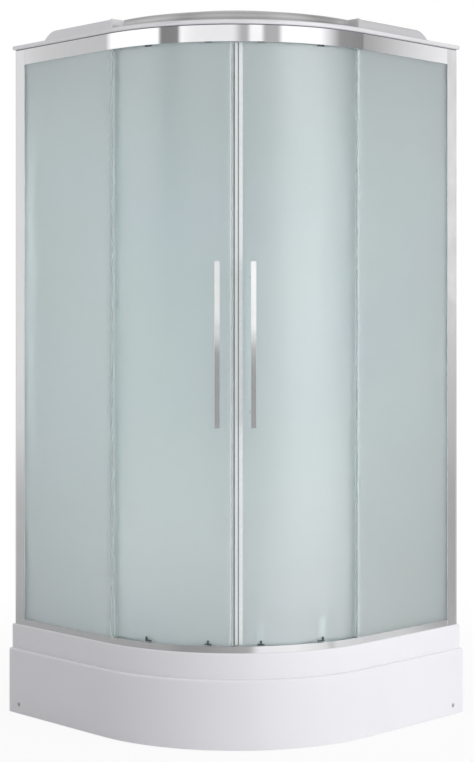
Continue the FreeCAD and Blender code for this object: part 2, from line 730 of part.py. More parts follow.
def makeRails():
    fasciaInner = "(Sizes.frame_inset + Sizes.rail_wall)"
    makeRail("bottom_rail", [
        ("Sizes.frame_inset", railInner, "Sizes.rim_top", "Sizes.rim_top + Sizes.rail_wall"),
        ("Sizes.frame_inset", fasciaInner, "Sizes.rim_top + Sizes.rail_wall",
         "Sizes.rim_top + Sizes.bottom_rail_height"),
        ("Sizes.track_inset", railInner, "Sizes.rim_top + Sizes.rail_wall", lowerTrackTop),
    ])
    trackBottom = "(Sizes.top_rail_bottom + Sizes.upper_track)"
    makeRail("top_rail", [
        ("Sizes.frame_inset", railInner, f"{topRailTop} - Sizes.rail_wall", topRailTop),
        ("Sizes.frame_inset", fasciaInner, "Sizes.top_rail_bottom", f"{topRailTop} - Sizes.rail_wall"),
        (f"({railInner} - Sizes.rail_wall)", railInner, trackBottom, f"{topRailTop} - Sizes.rail_wall"),
        ("Sizes.track_inset", f"({railInner} - Sizes.rail_wall)", trackBottom, upperTrackTop),
    ])


def makeProfile():
    body = newBody("wall_profile_left")
    left = f"(-{half} + Sizes.profile_gap)"
    front = f"(-{half} + Sizes.frame_inset)"
    back = f"(-{half} + {profileBack})"
    tall = f"{topRailTop} - Sizes.rim_top"
    plan = newSketch(body, level="Sizes.rim_top")
    rectangle(plan, left, front, profileFace, back)
    pad(body, plan, tall)
    slots = newSketch(body, level="Sizes.rim_top")
    rectangle(slots, f"{profileFace} - Sizes.slot_depth",
              f"-{half} + Sizes.fixed_inset - Sizes.slot_clearance",
              f"{profileFace} + Sizes.overcut", f"-{half} + {fixedInner} + Sizes.slot_clearance")
    rectangle(slots, f"-{half} + Sizes.wall_inset - Sizes.slot_clearance",
              f"{back} - Sizes.slot_depth",
              f"-{half} + {wallInner} + Sizes.slot_clearance", f"{back} + Sizes.overcut")
    rectangle(slots, f"{left} + Sizes.rail_wall", f"{front} + Sizes.rail_wall",
              f"{profileFace} - Sizes.slot_depth - Sizes.rail_wall",
              f"{back} - Sizes.slot_depth - Sizes.rail_wall")
    pocket(body, slots, tall)
    mirrored(body, "wall_profile_right")


def makeCornerPost():
    body = newBody("corner_post")
    low = f"(-{half} + Sizes.post_gap)"
    high = f"({low} + Sizes.post_width)"
    tall = f"{topRailTop} - Sizes.rim_top"
    plan = newSketch(body, level="Sizes.rim_top")
    rectangle(plan, low, f"-{high}", high, f"-{low}")
    pad(body, plan, tall)
    slots = newSketch(body, level="Sizes.rim_top")
    slotLow = f"-{half} + Sizes.wall_inset - Sizes.slot_clearance"
    slotHigh = f"-{half} + {wallInner} + Sizes.slot_clearance"
    rectangle(slots, slotLow, f"-{high} - Sizes.overcut", slotHigh, f"-{high} + Sizes.slot_depth")
    rectangle(slots, f"{high} - Sizes.slot_depth", f"-({slotHigh})",
              f"{high} + Sizes.overcut", f"-({slotLow})")
    pocket(body, slots, tall)


def makeWalls():
    postFace = f"({half} - Sizes.post_gap - Sizes.post_width)"
    wall = box("rear_wall",
               (f"-{half} + Sizes.wall_inset",
                f"-{half} + {profileBack} - Sizes.slot_depth + Sizes.slot_clearance", "Sizes.rim_top"),
               (f"-{half} + {wallInner}",
                f"{postFace} + Sizes.slot_depth - Sizes.slot_clearance", topRailTop))
    keep(wall, "rear_wall_left")
    mirrored(wall, "rear_wall_right")
    clips = []
    for number in range(round(size("Sizes.clip_count"))):
        level = f"({topRailTop} - Sizes.clip_first - {number} * Sizes.clip_pitch)"
        plate = box(f"clip{number}",
                    (f"-{half} + {wallInner}", f"-{half} + {profileBack}", f"{level} - Sizes.clip_size / 2"),
                    (f"-{half} + {wallInner} + Sizes.clip_plate",
                     f"-{half} + {profileBack} + Sizes.clip_size", f"{level} + Sizes.clip_size / 2"))
        head = cylinder(f"clip_head{number}", "Sizes.clip_head", "Sizes.clip_plate",
                        (f"-{half} + {wallInner} + Sizes.clip_plate",
                         f"-{half} + {profileBack} + Sizes.clip_size / 2", level), "x")
        clips.append(fused(f"clip_whole{number}", [plate, head]))
    group("wall_clips", clips + [reflection(clip) for clip in clips])


def makeFixedPanes():
    low = "(Sizes.rim_top + Sizes.rail_wall + Sizes.slot_clearance)"
    high = f"({topRailTop} - Sizes.rail_wall - Sizes.slot_clearance)"
    outer = f"(-{half} + Sizes.fixed_inset)"
    inner = f"(-{half} + {fixedInner})"
    end = f"({straight} + Sizes.fixed_overrun)"
    pane = box("fixed_pane",
               (f"{profileFace} - Sizes.slot_depth + Sizes.slot_clearance", outer, low),
               (end, inner, high))
    keep(pane, "fixed_glass_left")
    mirrored(pane, "fixed_glass_right")
    blank = box("fixed_seal_blank",
                (f"{end} - Sizes.seal_grip", f"{outer} - Sizes.seal_lip", sealBottom),
                (f"{end} + Sizes.seal_lip", f"{inner} + Sizes.seal_lip", sealTop))
    pair("fixed_glass_seals", boolean("Cut", "fixed_seal", blank, pane))
    gasket = box("pane_gasket",
                 (profileFace, f"{outer} - Sizes.gasket", sealBottom),
                 (f"{profileFace} + Sizes.gasket_width", outer, sealTop))
    pair("glazing_gaskets", gasket)


# Doors, in a frame of their own: local X runs outwards from the arc centre

def sector(label, inner, outer, low, high, start, sweep, keepIt=False):
    """Round-plan piece between two radii, two levels and two angles."""
    body = newBody(label, keepIt)
    section = newSketch(body, "XZ_Plane")
    rectangle(section, inner, low, outer, high)
    revolve(body, section, sweep)
    stand(body, start)
    return body


def makeDoorGlass():
    """Pane with its holes, and the strips that clasp its two long edges."""
    start = "(-90 - Sizes.door_overlap)"
    edge = f"({meeting} - Sizes.door_gap / {glassOuter} * 180 / pi)"
    whole = sector("door_blank", glassInner, glassOuter, "Sizes.door_bottom", "Sizes.door_top",
                   start, f"{edge} - {start}")
    drills = []
    for name, angle, level, radius in holes:
        drill = cylinder("drill_" + name, radius, "Sizes.glass + 2 * Sizes.overcut",
                         (f"{glassInner} - Sizes.overcut", "0", level), "x")
        drills.append(turnedCopy("drill_" + name, drill, angle))
    glass = boolean("Cut", "door_glass_left", whole, fused("door_drills", drills), keepIt=True)
    mirrored(glass, "door_glass_right")
    grip = f"(Sizes.seal_grip / {glassOuter} * 180 / pi)"
    gap = f"(Sizes.meeting_gap / {glassOuter} * 180 / pi)"
    strip = sector("meeting_blank", f"{glassInner} - Sizes.seal_lip", f"{glassOuter} + Sizes.seal_lip",
                   sealBottom, sealTop, f"{edge} - {grip}", f"{meeting} - {gap} - {edge} + {grip}")
    meetingStrip = boolean("Cut", "door_magnet_strip_left", strip, whole, keepIt=True)
    mirrored(meetingStrip, "door_magnet_strip_right")
    lip = f"(Sizes.seal_lip / {glassOuter} * 180 / pi)"
    trail = sector("trailing_blank", f"{glassInner} - Sizes.seal_lip", f"{glassOuter} + Sizes.seal_lip",
                   sealBottom, sealTop, f"{start} - {lip}", f"{grip} + {lip}")
    trailingStrip = boolean("Cut", "door_edge_seal_left", trail, whole, keepIt=True)
    mirrored(trailingStrip, "door_edge_seal_right")


def makeHandles():
    """Flat bar outside, its twin inside, and the two studs that join them through the glass."""
    angle = f"({meeting} - Sizes.handle_angle)"
    outerFace = f"({glassOuter} + Sizes.handle_standoff)"
    innerFace = f"({glassInner} - Sizes.handle_standoff)"
    low = "(Sizes.handle_middle - Sizes.handle_length / 2)"
    high = "(Sizes.handle_middle + Sizes.handle_length / 2)"
    bars = {
        "door_handle_outer": (outerFace, f"{outerFace} + Sizes.handle_thick"),
        "door_handle_inner": (f"{innerFace} - Sizes.handle_thick", innerFace),
    }
    for label, (near, far) in bars.items():
        bar = box(label, (near, "-Sizes.handle_width / 2", low), (far, "Sizes.handle_width / 2", high))
        placed = keep(turnedCopy(label, bar, angle), label + "_left")
        mirrored(placed, label + "_right")
    studs = []
    for name, level in handleHoles:
        studs.append(cylinder("stud_" + name, "Sizes.stud_radius", f"{outerFace} - {innerFace}",
                              (innerFace, "0", level), "x"))
    both = group("door_handle_studs_left", studs)
    stand(both, angle)
    mirrored(both, "door_handle_studs_right")


def makeAxle(name, base, level):
    """Axle that points at the arc centre, with its head past the wheel."""
    end = f"({wheelInner} - Sizes.slider_fit)"
    pin = cylinder(name + "_pin", "Sizes.axle_radius", f"{base} - {end}", (end, "0", level), "x")
    head = cylinder(name + "_head", "Sizes.axle_head", "Sizes.axle_head_length",
                    (f"{end} - Sizes.axle_head_length", "0", level), "x")
    return [pin, head]


def makeWheel(label, angle, level):
    body = newBody(label)
    section = newSketch(body)
    bore = "(Sizes.axle_radius + Sizes.axle_fit)"
    closedOutline(section, [
        (wheelInner, bore),
        (wheelOuter, bore),
        (wheelOuter, f"Sizes.wheel_radius - Sizes.wheel_bevel"),
        (f"{wheelOuter} - Sizes.wheel_bevel", "Sizes.wheel_radius"),
        (f"{wheelInner} + Sizes.wheel_bevel", "Sizes.wheel_radius"),
        (wheelInner, f"Sizes.wheel_radius - Sizes.wheel_bevel"),
    ])
    revolve(body, section, axis="X_Axis")
    stand(body, angle)
    body.setExpression("Placement.Base.z", level)
    return body


def makeRollers():
    seat = f"({glassInner} - Sizes.seat_gap)"
    wheelTop = f"({upperTrackTop} + {wheelDrop})"
    wheelLow = f"({lowerTrackTop} + {wheelDrop})"
    hangers = []
    housings = []
    bolts = []
    for place, angle in rollerAngles.items():
        plateBack = f"({seat} - Sizes.hanger_plate)"
        plate = box("hanger_plate_" + place,
                    (plateBack, "-Sizes.hanger_width / 2", "Sizes.hanger_bolt - Sizes.hanger_drop"),
                    (seat, "Sizes.hanger_width / 2", f"{wheelTop} + Sizes.hanger_over"))
        hanger = fused("hanger_" + place,
                       [plate] + makeAxle("hanger_axle_" + place, plateBack, wheelTop))
        hole = cylinder("hanger_hole_" + place, "Sizes.bolt_radius + Sizes.stud_fit",
                        "Sizes.hanger_plate + 2 * Sizes.overcut",
                        (f"{plateBack} - Sizes.overcut", "0", "Sizes.hanger_bolt"), "x")
        drilled = boolean("Cut", "hanger_drilled_" + place, hanger, hole)
        stand(drilled, angle)
        hangers.append(drilled)
        guideTop = "(Sizes.guide_bottom + Sizes.guide_height)"
        pocketBack = f"({seat} - Sizes.guide_wall)"
        pocketFront = f"({pocketBack} - Sizes.slider_thick - Sizes.slider_fit * 2)"
        block = box("guide_block_" + place,
                    (pocketFront, "-Sizes.guide_width / 2", "Sizes.guide_bottom"),
                    (seat, "Sizes.guide_width / 2", guideTop))
        wide = "(Sizes.slider_width / 2 + Sizes.slider_fit)"
        channel = box("guide_channel_" + place,
                      (f"{pocketFront} - Sizes.overcut", f"-{wide}", "Sizes.guide_bottom - Sizes.overcut"),
                      (pocketBack, wide, f"{guideTop} - Sizes.guide_cap"))
        guideHole = cylinder("guide_hole_" + place, "Sizes.bolt_radius + Sizes.stud_fit",
                             "Sizes.guide_wall + 2 * Sizes.overcut",
                             (f"{pocketBack} - Sizes.overcut", "0", guideBolt), "x")
        housing = boolean("Cut", "guide_housing_" + place, block,
                          fused("guide_cutters_" + place, [channel, guideHole]))
        stand(housing, angle)
        housings.append(housing)
        for name, level, back in (("hanger", "Sizes.hanger_bolt", plateBack),
                                  ("guide", guideBolt, pocketBack)):
            shank = cylinder(f"shank_{name}_{place}", "Sizes.bolt_radius",
                             f"{glassOuter} + Sizes.bolt_cap_height / 2 - {back}", (back, "0", level), "x")
            clampBottom = f"({level} - Sizes.bolt_stem_height / 2)"
            clampFace = f"({glassOuter} + Sizes.stud_fit)"
            clamp = []
            for part, wide, tall in (("foot", "Sizes.bolt_foot_width", "Sizes.bolt_foot_height"),
                                     ("stem", "Sizes.bolt_stem_width", "Sizes.bolt_stem_height")):
                clamp.append(box(f"clamp_{part}_{name}_{place}",
                                 (clampFace, f"-{wide} / 2", clampBottom),
                                 (f"{clampFace} + Sizes.bolt_cap_height", f"{wide} / 2",
                                  f"{clampBottom} + {tall}")))
            bolt = fused(f"bolt_{name}_{place}", [shank] + clamp)
            stand(bolt, angle)
            bolts.append(bolt)
        sliderFace = f"({pocketBack} - Sizes.slider_fit)"
        slab = box("slider_slab_" + place,
                   (f"{sliderFace} - Sizes.slider_thick", "-Sizes.slider_width / 2",
                    f"{wheelLow} - Sizes.slider_below"),
                   (sliderFace, "Sizes.slider_width / 2", "Sizes.slider_top"))
        axle = makeAxle("slider_axle_" + place, f"({sliderFace} - Sizes.slider_thick)", wheelLow)
        slider = fused("slider_" + place, [slab] + axle)
        stand(slider, angle)
        keep(slider, f"roller_slider_left_{place}")
        mirrored(slider, f"roller_slider_right_{place}")
        for side, level in (("upper", wheelTop), ("lower", wheelLow)):
            wheel = makeWheel(f"{side}_wheel_left_{place}", angle, level)
            mirrored(wheel, f"{side}_wheel_right_{place}")
    sets = {"roller_hangers": hangers, "roller_housings": housings, "roller_bolts": bolts}
    for label, members in sets.items():
        mirrored(group(label + "_left", members), label + "_right")


# Roof

def layer(label, low, rise, inset, rear, slope=None):
    """Quadrant-shaped layer. Its sides lean inwards by the slope, where there is one."""
    body = newBody(label, keepIt=False)
    plan = newSketch(body, level=low)
    quadrant(plan, inset, rear)
    pad(body, plan, rise, draft=f"-{slope}" if slope else None)
    return body


def makeWing():
    """Raised ridge beside the straight side. Its wall end rises in two tangent arcs."""
    body = newBody("wing", keepIt=False)
    side = newSketch(body, "XZ_Plane", level=f"({half} - Sizes.wing_inset)")
    foot = f"(-{half} + Sizes.roof_inset + Sizes.wing_foot)"
    rise = "Sizes.wing_rise"
    slope = "Sizes.wing_slope"
    low = f"({roofTop} - Sizes.roof_wall)"
    ease = "Sizes.wing_ease"
    # Two tangent arcs share the slope
    bend = f"(({slope} * {slope} + {rise} * {rise}) / (2 * {rise}))"
    closedOutline(side, [
        (foot, low),
        (f"{straight} - Sizes.wing_step", low),
        (f"{straight} - Sizes.wing_step", f"{roofTop} + {rise}"),
        (f"{foot} + {slope}", f"{roofTop} + {rise}", "ccw", f"({bend} * (1 - {ease}))"),
        (f"{foot} + {slope} * {ease}", f"{roofTop} + {rise} * {ease}", "cw", f"({bend} * {ease})"),
        (foot, roofTop),
    ])
    ridge = pad(body, side, "Sizes.wing_width")
    ridge.Reversed = True
    return body


def makeRoof():
    domeTop = f"({roofTop} + Sizes.dome_rise)"
    skin = "(Sizes.roof_wall + Sizes.overcut)"
    lip = layer("roof_lip", topRailTop, "Sizes.roof_lip", "Sizes.roof_inset", "Sizes.roof_rear_inset")
    dome = layer("roof_dome", roofTop, "Sizes.dome_rise", "Sizes.dome_inset",
                 "Sizes.dome_rear_inset", "Sizes.dome_draft")
    crown = layer("roof_crown", domeTop, "Sizes.crown_rise", "Sizes.crown_inset",
                  "Sizes.crown_inset", "Sizes.crown_draft")
    wing = makeWing()
    solid = fused("roof_solid", [lip, dome, crown, wing, reflection(wing)])
    seat = f"({railInner} + Sizes.roof_wall)"
    under = layer("roof_under", f"{topRailTop} - Sizes.overcut",
                  "Sizes.roof_lip - Sizes.roof_wall + Sizes.overcut", seat, seat)
    hollow = layer("roof_hollow", f"{roofTop} - {skin}", "Sizes.dome_rise + Sizes.overcut",
                   "(Sizes.dome_inset + Sizes.dome_shell)", "(Sizes.dome_rear_inset + Sizes.dome_shell)",
                   "Sizes.dome_draft")
    crownInner = "(Sizes.crown_inset + Sizes.crown_shell)"
    crownHollow = layer("roof_crown_hollow", f"{domeTop} - {skin}", "Sizes.crown_rise + Sizes.overcut",
                        crownInner, crownInner, "Sizes.crown_draft")
    inside = fused("roof_inside", [under, hollow, crownHollow])
    boolean("Cut", "roof_panel", solid, inside, keepIt=True)


makeTray()
makeApron()
makeApronFixings()
makeWasteTrap()
makeWasteFittings()
makeSubFrame()
makeRails()
makeProfile()
makeCornerPost()
makeWalls()
makeFixedPanes()
makeDoorGlass()
makeHandles()
makeRollers()
makeRoof()
doc.recompute()

for item in doc.Objects:
    if "Invalid" in item.State or "Error" in item.State:
        raise RuntimeError(f"{item.Label} failed: {item.State}")
for item in nodes:
    if item.Shape.isNull() or not item.Shape.isValid():
        raise RuntimeError(f"{item.Label} has no valid shape")
os.makedirs("parts", exist_ok=True)
for item in nodes:
    item.Shape.exportStep(f"parts/{item.Label}.step")
    print(item.Label, len(item.Shape.Solids), round(item.Shape.Volume))
print(len(nodes), "nodes")
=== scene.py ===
import json
import math
import bmesh
import bpy
from mathutils import Matrix, Vector


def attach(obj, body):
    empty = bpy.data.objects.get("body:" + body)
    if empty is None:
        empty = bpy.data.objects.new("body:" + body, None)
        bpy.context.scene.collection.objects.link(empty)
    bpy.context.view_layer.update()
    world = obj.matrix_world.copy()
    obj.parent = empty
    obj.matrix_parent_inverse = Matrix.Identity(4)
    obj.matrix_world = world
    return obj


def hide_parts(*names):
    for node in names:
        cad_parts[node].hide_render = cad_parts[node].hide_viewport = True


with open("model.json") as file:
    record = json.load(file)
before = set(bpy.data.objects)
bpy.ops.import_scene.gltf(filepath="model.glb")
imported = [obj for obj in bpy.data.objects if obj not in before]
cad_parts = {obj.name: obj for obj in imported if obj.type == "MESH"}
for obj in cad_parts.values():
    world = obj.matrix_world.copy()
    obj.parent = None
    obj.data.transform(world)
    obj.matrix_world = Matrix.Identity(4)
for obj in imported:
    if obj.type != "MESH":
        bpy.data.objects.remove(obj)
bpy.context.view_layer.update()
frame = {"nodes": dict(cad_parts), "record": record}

scene = bpy.context.scene
nodes = frame["nodes"]
halfSide = 0.5                              # half of the square footprint
trayRadius = 0.55                           # of the tray's round front
arcCentre = Vector((halfSide - trayRadius, trayRadius - halfSide, 0.0))
meetingAngle = -45.0                        # where the two doors meet, degrees in plan
print("frame loaded:", len(nodes), "nodes")


class Wire:                                 # an output socket that can be added, multiplied and so on
    def __init__(self, paint, socket):
        self.paint = paint
        self.socket = socket

    def sum(self, operation, first, second):
        return self.paint.add("ShaderNodeMath", {"operation": operation}, {0: first, 1: second})

    def __add__(self, other):
        return self.sum("ADD", self, other)

    def __radd__(self, other):
        return self.sum("ADD", other, self)

    def __sub__(self, other):
        return self.sum("SUBTRACT", self, other)

    def __rsub__(self, other):
        return self.sum("SUBTRACT", other, self)

    def __mul__(self, other):
        return self.sum("MULTIPLY", self, other)

    def __rmul__(self, other):
        return self.sum("MULTIPLY", other, self)

    def __truediv__(self, other):
        return self.sum("DIVIDE", self, other)

    def __rtruediv__(self, other):
        return self.sum("DIVIDE", other, self)


class Paint:                                # the node tree of one material or of the world
    def __init__(self, tree):
        self.tree = tree
        tree.nodes.clear()

    def add(self, kind, settings=None, inputs=None, output=0):
        node = self.tree.nodes.new(kind)
        for key, value in (settings or {}).items():
            if key == "stops":              # a ramp's (place, level) pairs
                ramp = node.color_ramp
                while len(ramp.elements) < len(value):
                    ramp.elements.new(1.0)
                for element, (place, level) in zip(ramp.elements, value):
                    element.position = place
                    element.color = (level, level, level, 1.0)
            else:
                setattr(node, key, value)
        for key, value in (inputs or {}).items():
            if isinstance(value, Wire):
                self.tree.links.new(value.socket, node.inputs[key])
            elif isinstance(value, tuple) and node.inputs[key].type == "RGBA":
                node.inputs[key].default_value = (*value, 1.0)
            else:
                node.inputs[key].default_value = value
        return Wire(self, node.outputs[output]) if node.outputs else None

    def place(self, stretch=(1.0, 1.0, 1.0)):         # place on the object in metres, stretched
        spot = self.add("ShaderNodeTexCoord", output="Object")
        return self.add("ShaderNodeMapping", {}, {"Vector": spot, "Scale": stretch})

    def noise(self, scale, detail=3.0, stretch=(1.0, 1.0, 1.0), rough=0.5):
        return self.add("ShaderNodeTexNoise", {}, {
            "Vector": self.place(stretch), "Scale": scale, "Detail": detail, "Roughness": rough})

    def mix(self, amount, first, second, blend="MIX"):        # of two colours, sockets 6 and 7
        return self.add("ShaderNodeMix", {"data_type": "RGBA", "blend_type": blend},
                        {0: amount, 6: first, 7: second}, 2)

    def between(self, value, low, high, start=0.0, end=1.0):
        return self.add("ShaderNodeMapRange", {"clamp": True}, {
            "Value": value, "From Min": start, "From Max": end, "To Min": low, "To Max": high})

    def clouded(self, cloud, look, start, end):       # the two colours of a look, blended by a noise
        return self.mix(self.between(cloud, 0.0, 1.0, start, end), look["colour"], look["shade"])

    def parts(self, vector):                          # the three numbers of a vector
        split = self.add("ShaderNodeSeparateXYZ", {}, {0: vector})
        return [Wire(self, socket) for socket in split.socket.node.outputs]

    def rays(self):                                   # whether a camera, mirrored or transmitted ray looks
        found = self.add("ShaderNodeLightPath").socket.node.outputs
        return [Wire(self, found[name]) for name in (
            "Is Camera Ray", "Is Glossy Ray", "Is Transmission Ray")]

    def ramp(self, value, stops):                     # level by value, from (value, level) stops
        low, high = stops[0][0], stops[-1][0]
        stops = [((place - low) / (high - low), level) for place, level in stops]
        return self.add("ShaderNodeValToRGB", {"stops": stops}, {"Fac": (value - low) / (high - low)})

    def turn(self, x, y):                             # direction in plan, degrees from +X
        return self.add("ShaderNodeMath", {"operation": "ARCTAN2"}, {0: y, 1: x}) * math.degrees(1.0)

    def reach(self, x, y):                            # distance in plan
        return self.add("ShaderNodeMath", {"operation": "SQRT"}, {0: x * x + y * y})

    def bump(self, height, distance, strength):
        return self.add("ShaderNodeBump", {}, {
            "Height": height, "Distance": distance, "Strength": strength})

    def surface(self, shader):
        self.add("ShaderNodeOutputMaterial", {}, {"Surface": shader})


materials = {}


def material(name, build, look):            # build(paint, look) returns the shader
    made = bpy.data.materials.new(name)
    made.use_nodes = True
    paint = Paint(made.node_tree)
    paint.surface(build(paint, look))
    materials[name] = made
    return made


# finishes: each has a function, and a dictionary of what can be changed

def insideTray(paint, look, x, y):          # mask of the tray within its rim, where the tray is painted lighter as painted light
    inside = paint.between(y, 0.0, 1.0, *look["insideFrom"]) * paint.between(x, 1.0, 0.0, *look["insideTo"])
    aside, along = x - arcCentre.x, y - arcCentre.y
    seam = look["insideSeam"]
    corner = paint.between(paint.reach(aside, along), 1.0, 0.0, *look["insideCorner"])
    corner = corner + paint.between(aside, 1.0, 0.0, -seam, seam)
    return inside * (corner + paint.between(along, 0.0, 1.0, -seam, seam))


def domeBelt(paint, look, x, y, z):         # mask of the dome's round front
    first, last = look["bandEnd"]
    belt = paint.between(x, 0.0, 1.0, first, last) * paint.between(y, 1.0, 0.0, -last, -first)
    return belt * paint.between(z, 0.0, 1.0, *look["bandLow"]) * paint.between(z, 1.0, 0.0, *look["bandHigh"])


def acrylic(paint, look):                   # vacuum-formed sanitary sheet: faint ripple, hair scratches
    colour = paint.clouded(paint.noise(look["toneScale"], 3.0), look, 0.35, 0.65)
    relief = paint.noise(look["rippleScale"], 2.0) * look["ripple"]
    marks = paint.noise(look["scratchScale"], 4.0, look["scratchStretch"], 0.7)
    gloss = look["roughness"] + paint.between(marks, 0.0, look["scratchSpread"], 0.4, 0.75)
    pearl = look["pearl"]
    x, y, z = paint.parts(paint.place())
    if "grip" in look:                      # anti-slip studs on the tray floor
        studs = paint.add("ShaderNodeTexVoronoi", {"feature": "F1"}, {
            "Vector": paint.place((1.0, 1.0, 0.0)), "Scale": look["grip"], "Randomness": 0.0})
        floor = paint.between(z, 1.0, 0.0, *look["gripLevels"])
        relief = relief + paint.between(studs, look["gripHeight"], 0.0, *look["gripEdge"]) * floor
        # painted light: the tray's inside is coloured lighter than its rim
        colour = paint.mix(insideTray(paint, look, x, y), colour, look["inside"])
    if "across" in look:                    # painted shade on the canopy, greyer to one side, and painted reflection bands along its dome
        aside = (x + y) * math.sqrt(0.5)
        wing = paint.between(z, 0.0, 1.0, *look["wingFrom"])
        # painted shade: the canopy's colour darkens towards the right, more on the wings
        paintedShade = paint.mix(wing, paint.ramp(aside, look["across"]), paint.ramp(aside, look["wingAcross"]))
        colour = paint.mix(1.0, colour, paintedShade, "MULTIPLY")
        belt = domeBelt(paint, look, x, y, z)
        # painted reflection: bands of lighter and darker tone up the dome's front, by height
        colour = paint.mix(belt, colour, paint.ramp(z, look["band"]))
        pearl = paint.ramp(aside, look["pearlAcross"])
        pearl = pearl + belt * (look["bandPearl"] - pearl)
        gloss = gloss + belt * look["bandGloss"]
    return paint.add("ShaderNodeBsdfPrincipled", {}, {
        "Base Color": colour, "Metallic": pearl, "Roughness": gloss, "IOR": look["index"],
        "Coat Weight": look["coat"], "Coat Roughness": look["coatRoughness"],
        "Normal": paint.bump(relief, look["rippleDepth"], look["rippleStrength"])})


acrylicLook = {
    "colour": (0.86, 0.855, 0.885), "shade": (0.84, 0.835, 0.865), "toneScale": 3.0, "pearl": 0.0,
    "rippleScale": 24.0, "ripple": 0.6, "rippleDepth": 0.0006, "rippleStrength": 0.35,
    "scratchScale": 60.0, "scratchStretch": (1.0, 1.0, 6.0), "scratchSpread": 0.10,
    "roughness": 0.16, "index": 1.49, "coat": 0.35, "coatRoughness": 0.05,
}
trayLook = {
    **acrylicLook, "grip": 42.0, "gripHeight": 2.5, "gripLevels": (0.112, 0.116), "gripEdge": (0.22, 0.34),
    "inside": (0.96, 0.965, 0.975), "insideFrom": (-0.425, -0.420), "insideTo": (0.420, 0.425),
    "insideCorner": (0.470, 0.475), "insideSeam": 0.001,
}
canopyLook = {                              # across: metres to the right of the middle, seen from the front; the across ramps are painted shade, greyer to the right
    **acrylicLook, "bandPearl": 0.80, "bandGloss": 0.12, "wingFrom": (2.0805, 2.0830),
    "colour": (0.93, 0.925, 0.95), "shade": (0.91, 0.905, 0.93),
    "pearlAcross": [(-0.70, 0.05), (-0.20, 0.10), (0.0, 0.18), (0.70, 0.12)],
    "across": [(-0.70, 1.0), (-0.45, 1.0), (-0.26, 0.965), (0.0, 0.88), (0.26, 0.89), (0.53, 0.79),
               (0.70, 0.79)],
    "wingAcross": [(-0.70, 1.0), (0.10, 0.96), (0.22, 0.78), (0.32, 0.64), (0.70, 0.62)],
    "bandEnd": (-0.0665, -0.0645), "bandLow": (2.0825, 2.0850), "bandHigh": (2.1196, 2.1206),
    # colour ramp by height on the dome's front: painted reflection bands
    "band": [(2.0800, 0.82), (2.0845, 0.70), (2.0900, 0.62), (2.1000, 0.66), (2.1060, 0.86),
             (2.1110, 0.74), (2.1160, 0.62), (2.1220, 0.55)],
}


def frosted(paint, look):                   # etched tempered glass with a fine sandy grain
    colour = paint.clouded(paint.noise(look["cloudScale"], 2.0), look, 0.35, 0.65)
    grain = paint.noise(look["grainScale"], 2.0)
    smears = paint.noise(look["smearScale"], 3.0, look["smearStretch"])
    gloss = look["roughness"] + paint.between(smears, -look["smearSpread"], look["smearSpread"], 0.35, 0.65)
    # painted sheen: the coat's weight follows height, strongest at the top and bottom of the glass
    filmAndSheen = paint.ramp(paint.parts(paint.place())[2], look["filmAndSheen"])
    return paint.add("ShaderNodeBsdfPrincipled", {}, {
        "Base Color": colour, "Roughness": gloss, "IOR": look["index"],
        "Transmission Weight": look["clearness"], "Coat Weight": filmAndSheen,
        "Coat Roughness": look["coatRoughness"], "Coat IOR": look["coatIndex"],
        "Normal": paint.bump(grain, look["grainDepth"], look["grainStrength"])})


frostedLook = {
    "colour": (0.915, 0.990, 0.975), "shade": (0.910, 0.975, 1.0), "cloudScale": 2.2, "index": 1.45,
    "grainScale": 900.0, "grainDepth": 0.0002, "grainStrength": 0.3,
    "smearScale": 7.0, "smearStretch": (1.0, 1.0, 0.3), "smearSpread": 0.03,
    "roughness": 0.50, "clearness": 0.95, "coatRoughness": 0.25, "coatIndex": 2.3,
    # coat weight by height, a painted sheen, strongest along the upper and lower edges
    "filmAndSheen": [(0.20, 1.0), (0.50, 1.0), (0.60, 0.88), (0.72, 0.70), (1.0, 0.48), (1.6, 0.45),
             (1.85, 0.60), (2.02, 0.76), (2.20, 0.76)],
}


def metal(paint, look):                     # drawn or turned metal: fine lines along the stretch
    lines = paint.noise(look["lineScale"], 4.0, look["stretch"], 0.6)
    filmAndSheen = paint.noise(look["filmScale"], 3.0)
    gloss = look["roughness"] + paint.between(filmAndSheen, 0.0, look["filmSpread"], 0.35, 0.7)
    return paint.add("ShaderNodeBsdfPrincipled", {}, {
        "Base Color": paint.clouded(filmAndSheen, look, 0.3, 0.7), "Metallic": 1.0, "Roughness": gloss,
        "Normal": paint.bump(lines, look["lineDepth"], look["lineStrength"])})


polishedLook = {"colour": (0.965, 0.965, 0.975), "shade": (0.935, 0.935, 0.955), "roughness": 0.045,
                "lineScale": 40.0, "stretch": (0.4, 0.4, 30.0), "lineDepth": 0.0001, "lineStrength": 0.10,
                "filmScale": 9.0, "filmSpread": 0.03}
chromeLook = {"colour": (0.93, 0.94, 0.945), "shade": (0.90, 0.91, 0.92), "roughness": 0.05,
              "lineScale": 60.0, "stretch": (8.0, 8.0, 0.5), "lineDepth": 0.0001, "lineStrength": 0.12,
              "filmScale": 22.0, "filmSpread": 0.04}
satinLook = {"colour": (0.93, 0.93, 0.94), "shade": (0.90, 0.90, 0.915), "roughness": 0.15,
             "lineScale": 50.0, "stretch": (14.0, 14.0, 0.3), "lineDepth": 0.0001, "lineStrength": 0.2,
             "filmScale": 12.0, "filmSpread": 0.06}
zincLook = {"colour": (0.58, 0.60, 0.63), "shade": (0.44, 0.46, 0.49), "roughness": 0.36,
            "lineScale": 30.0, "stretch": (3.0, 3.0, 3.0), "lineDepth": 0.0002, "lineStrength": 0.25,
            "filmScale": 70.0, "filmSpread": 0.2}
pressedLook = {"colour": (0.64, 0.64, 0.66), "shade": (0.56, 0.56, 0.58), "roughness": 0.28,
               "lineScale": 45.0, "stretch": (1.0, 1.0, 12.0), "lineDepth": 0.0001, "lineStrength": 0.2,
               "filmScale": 60.0, "filmSpread": 0.1}


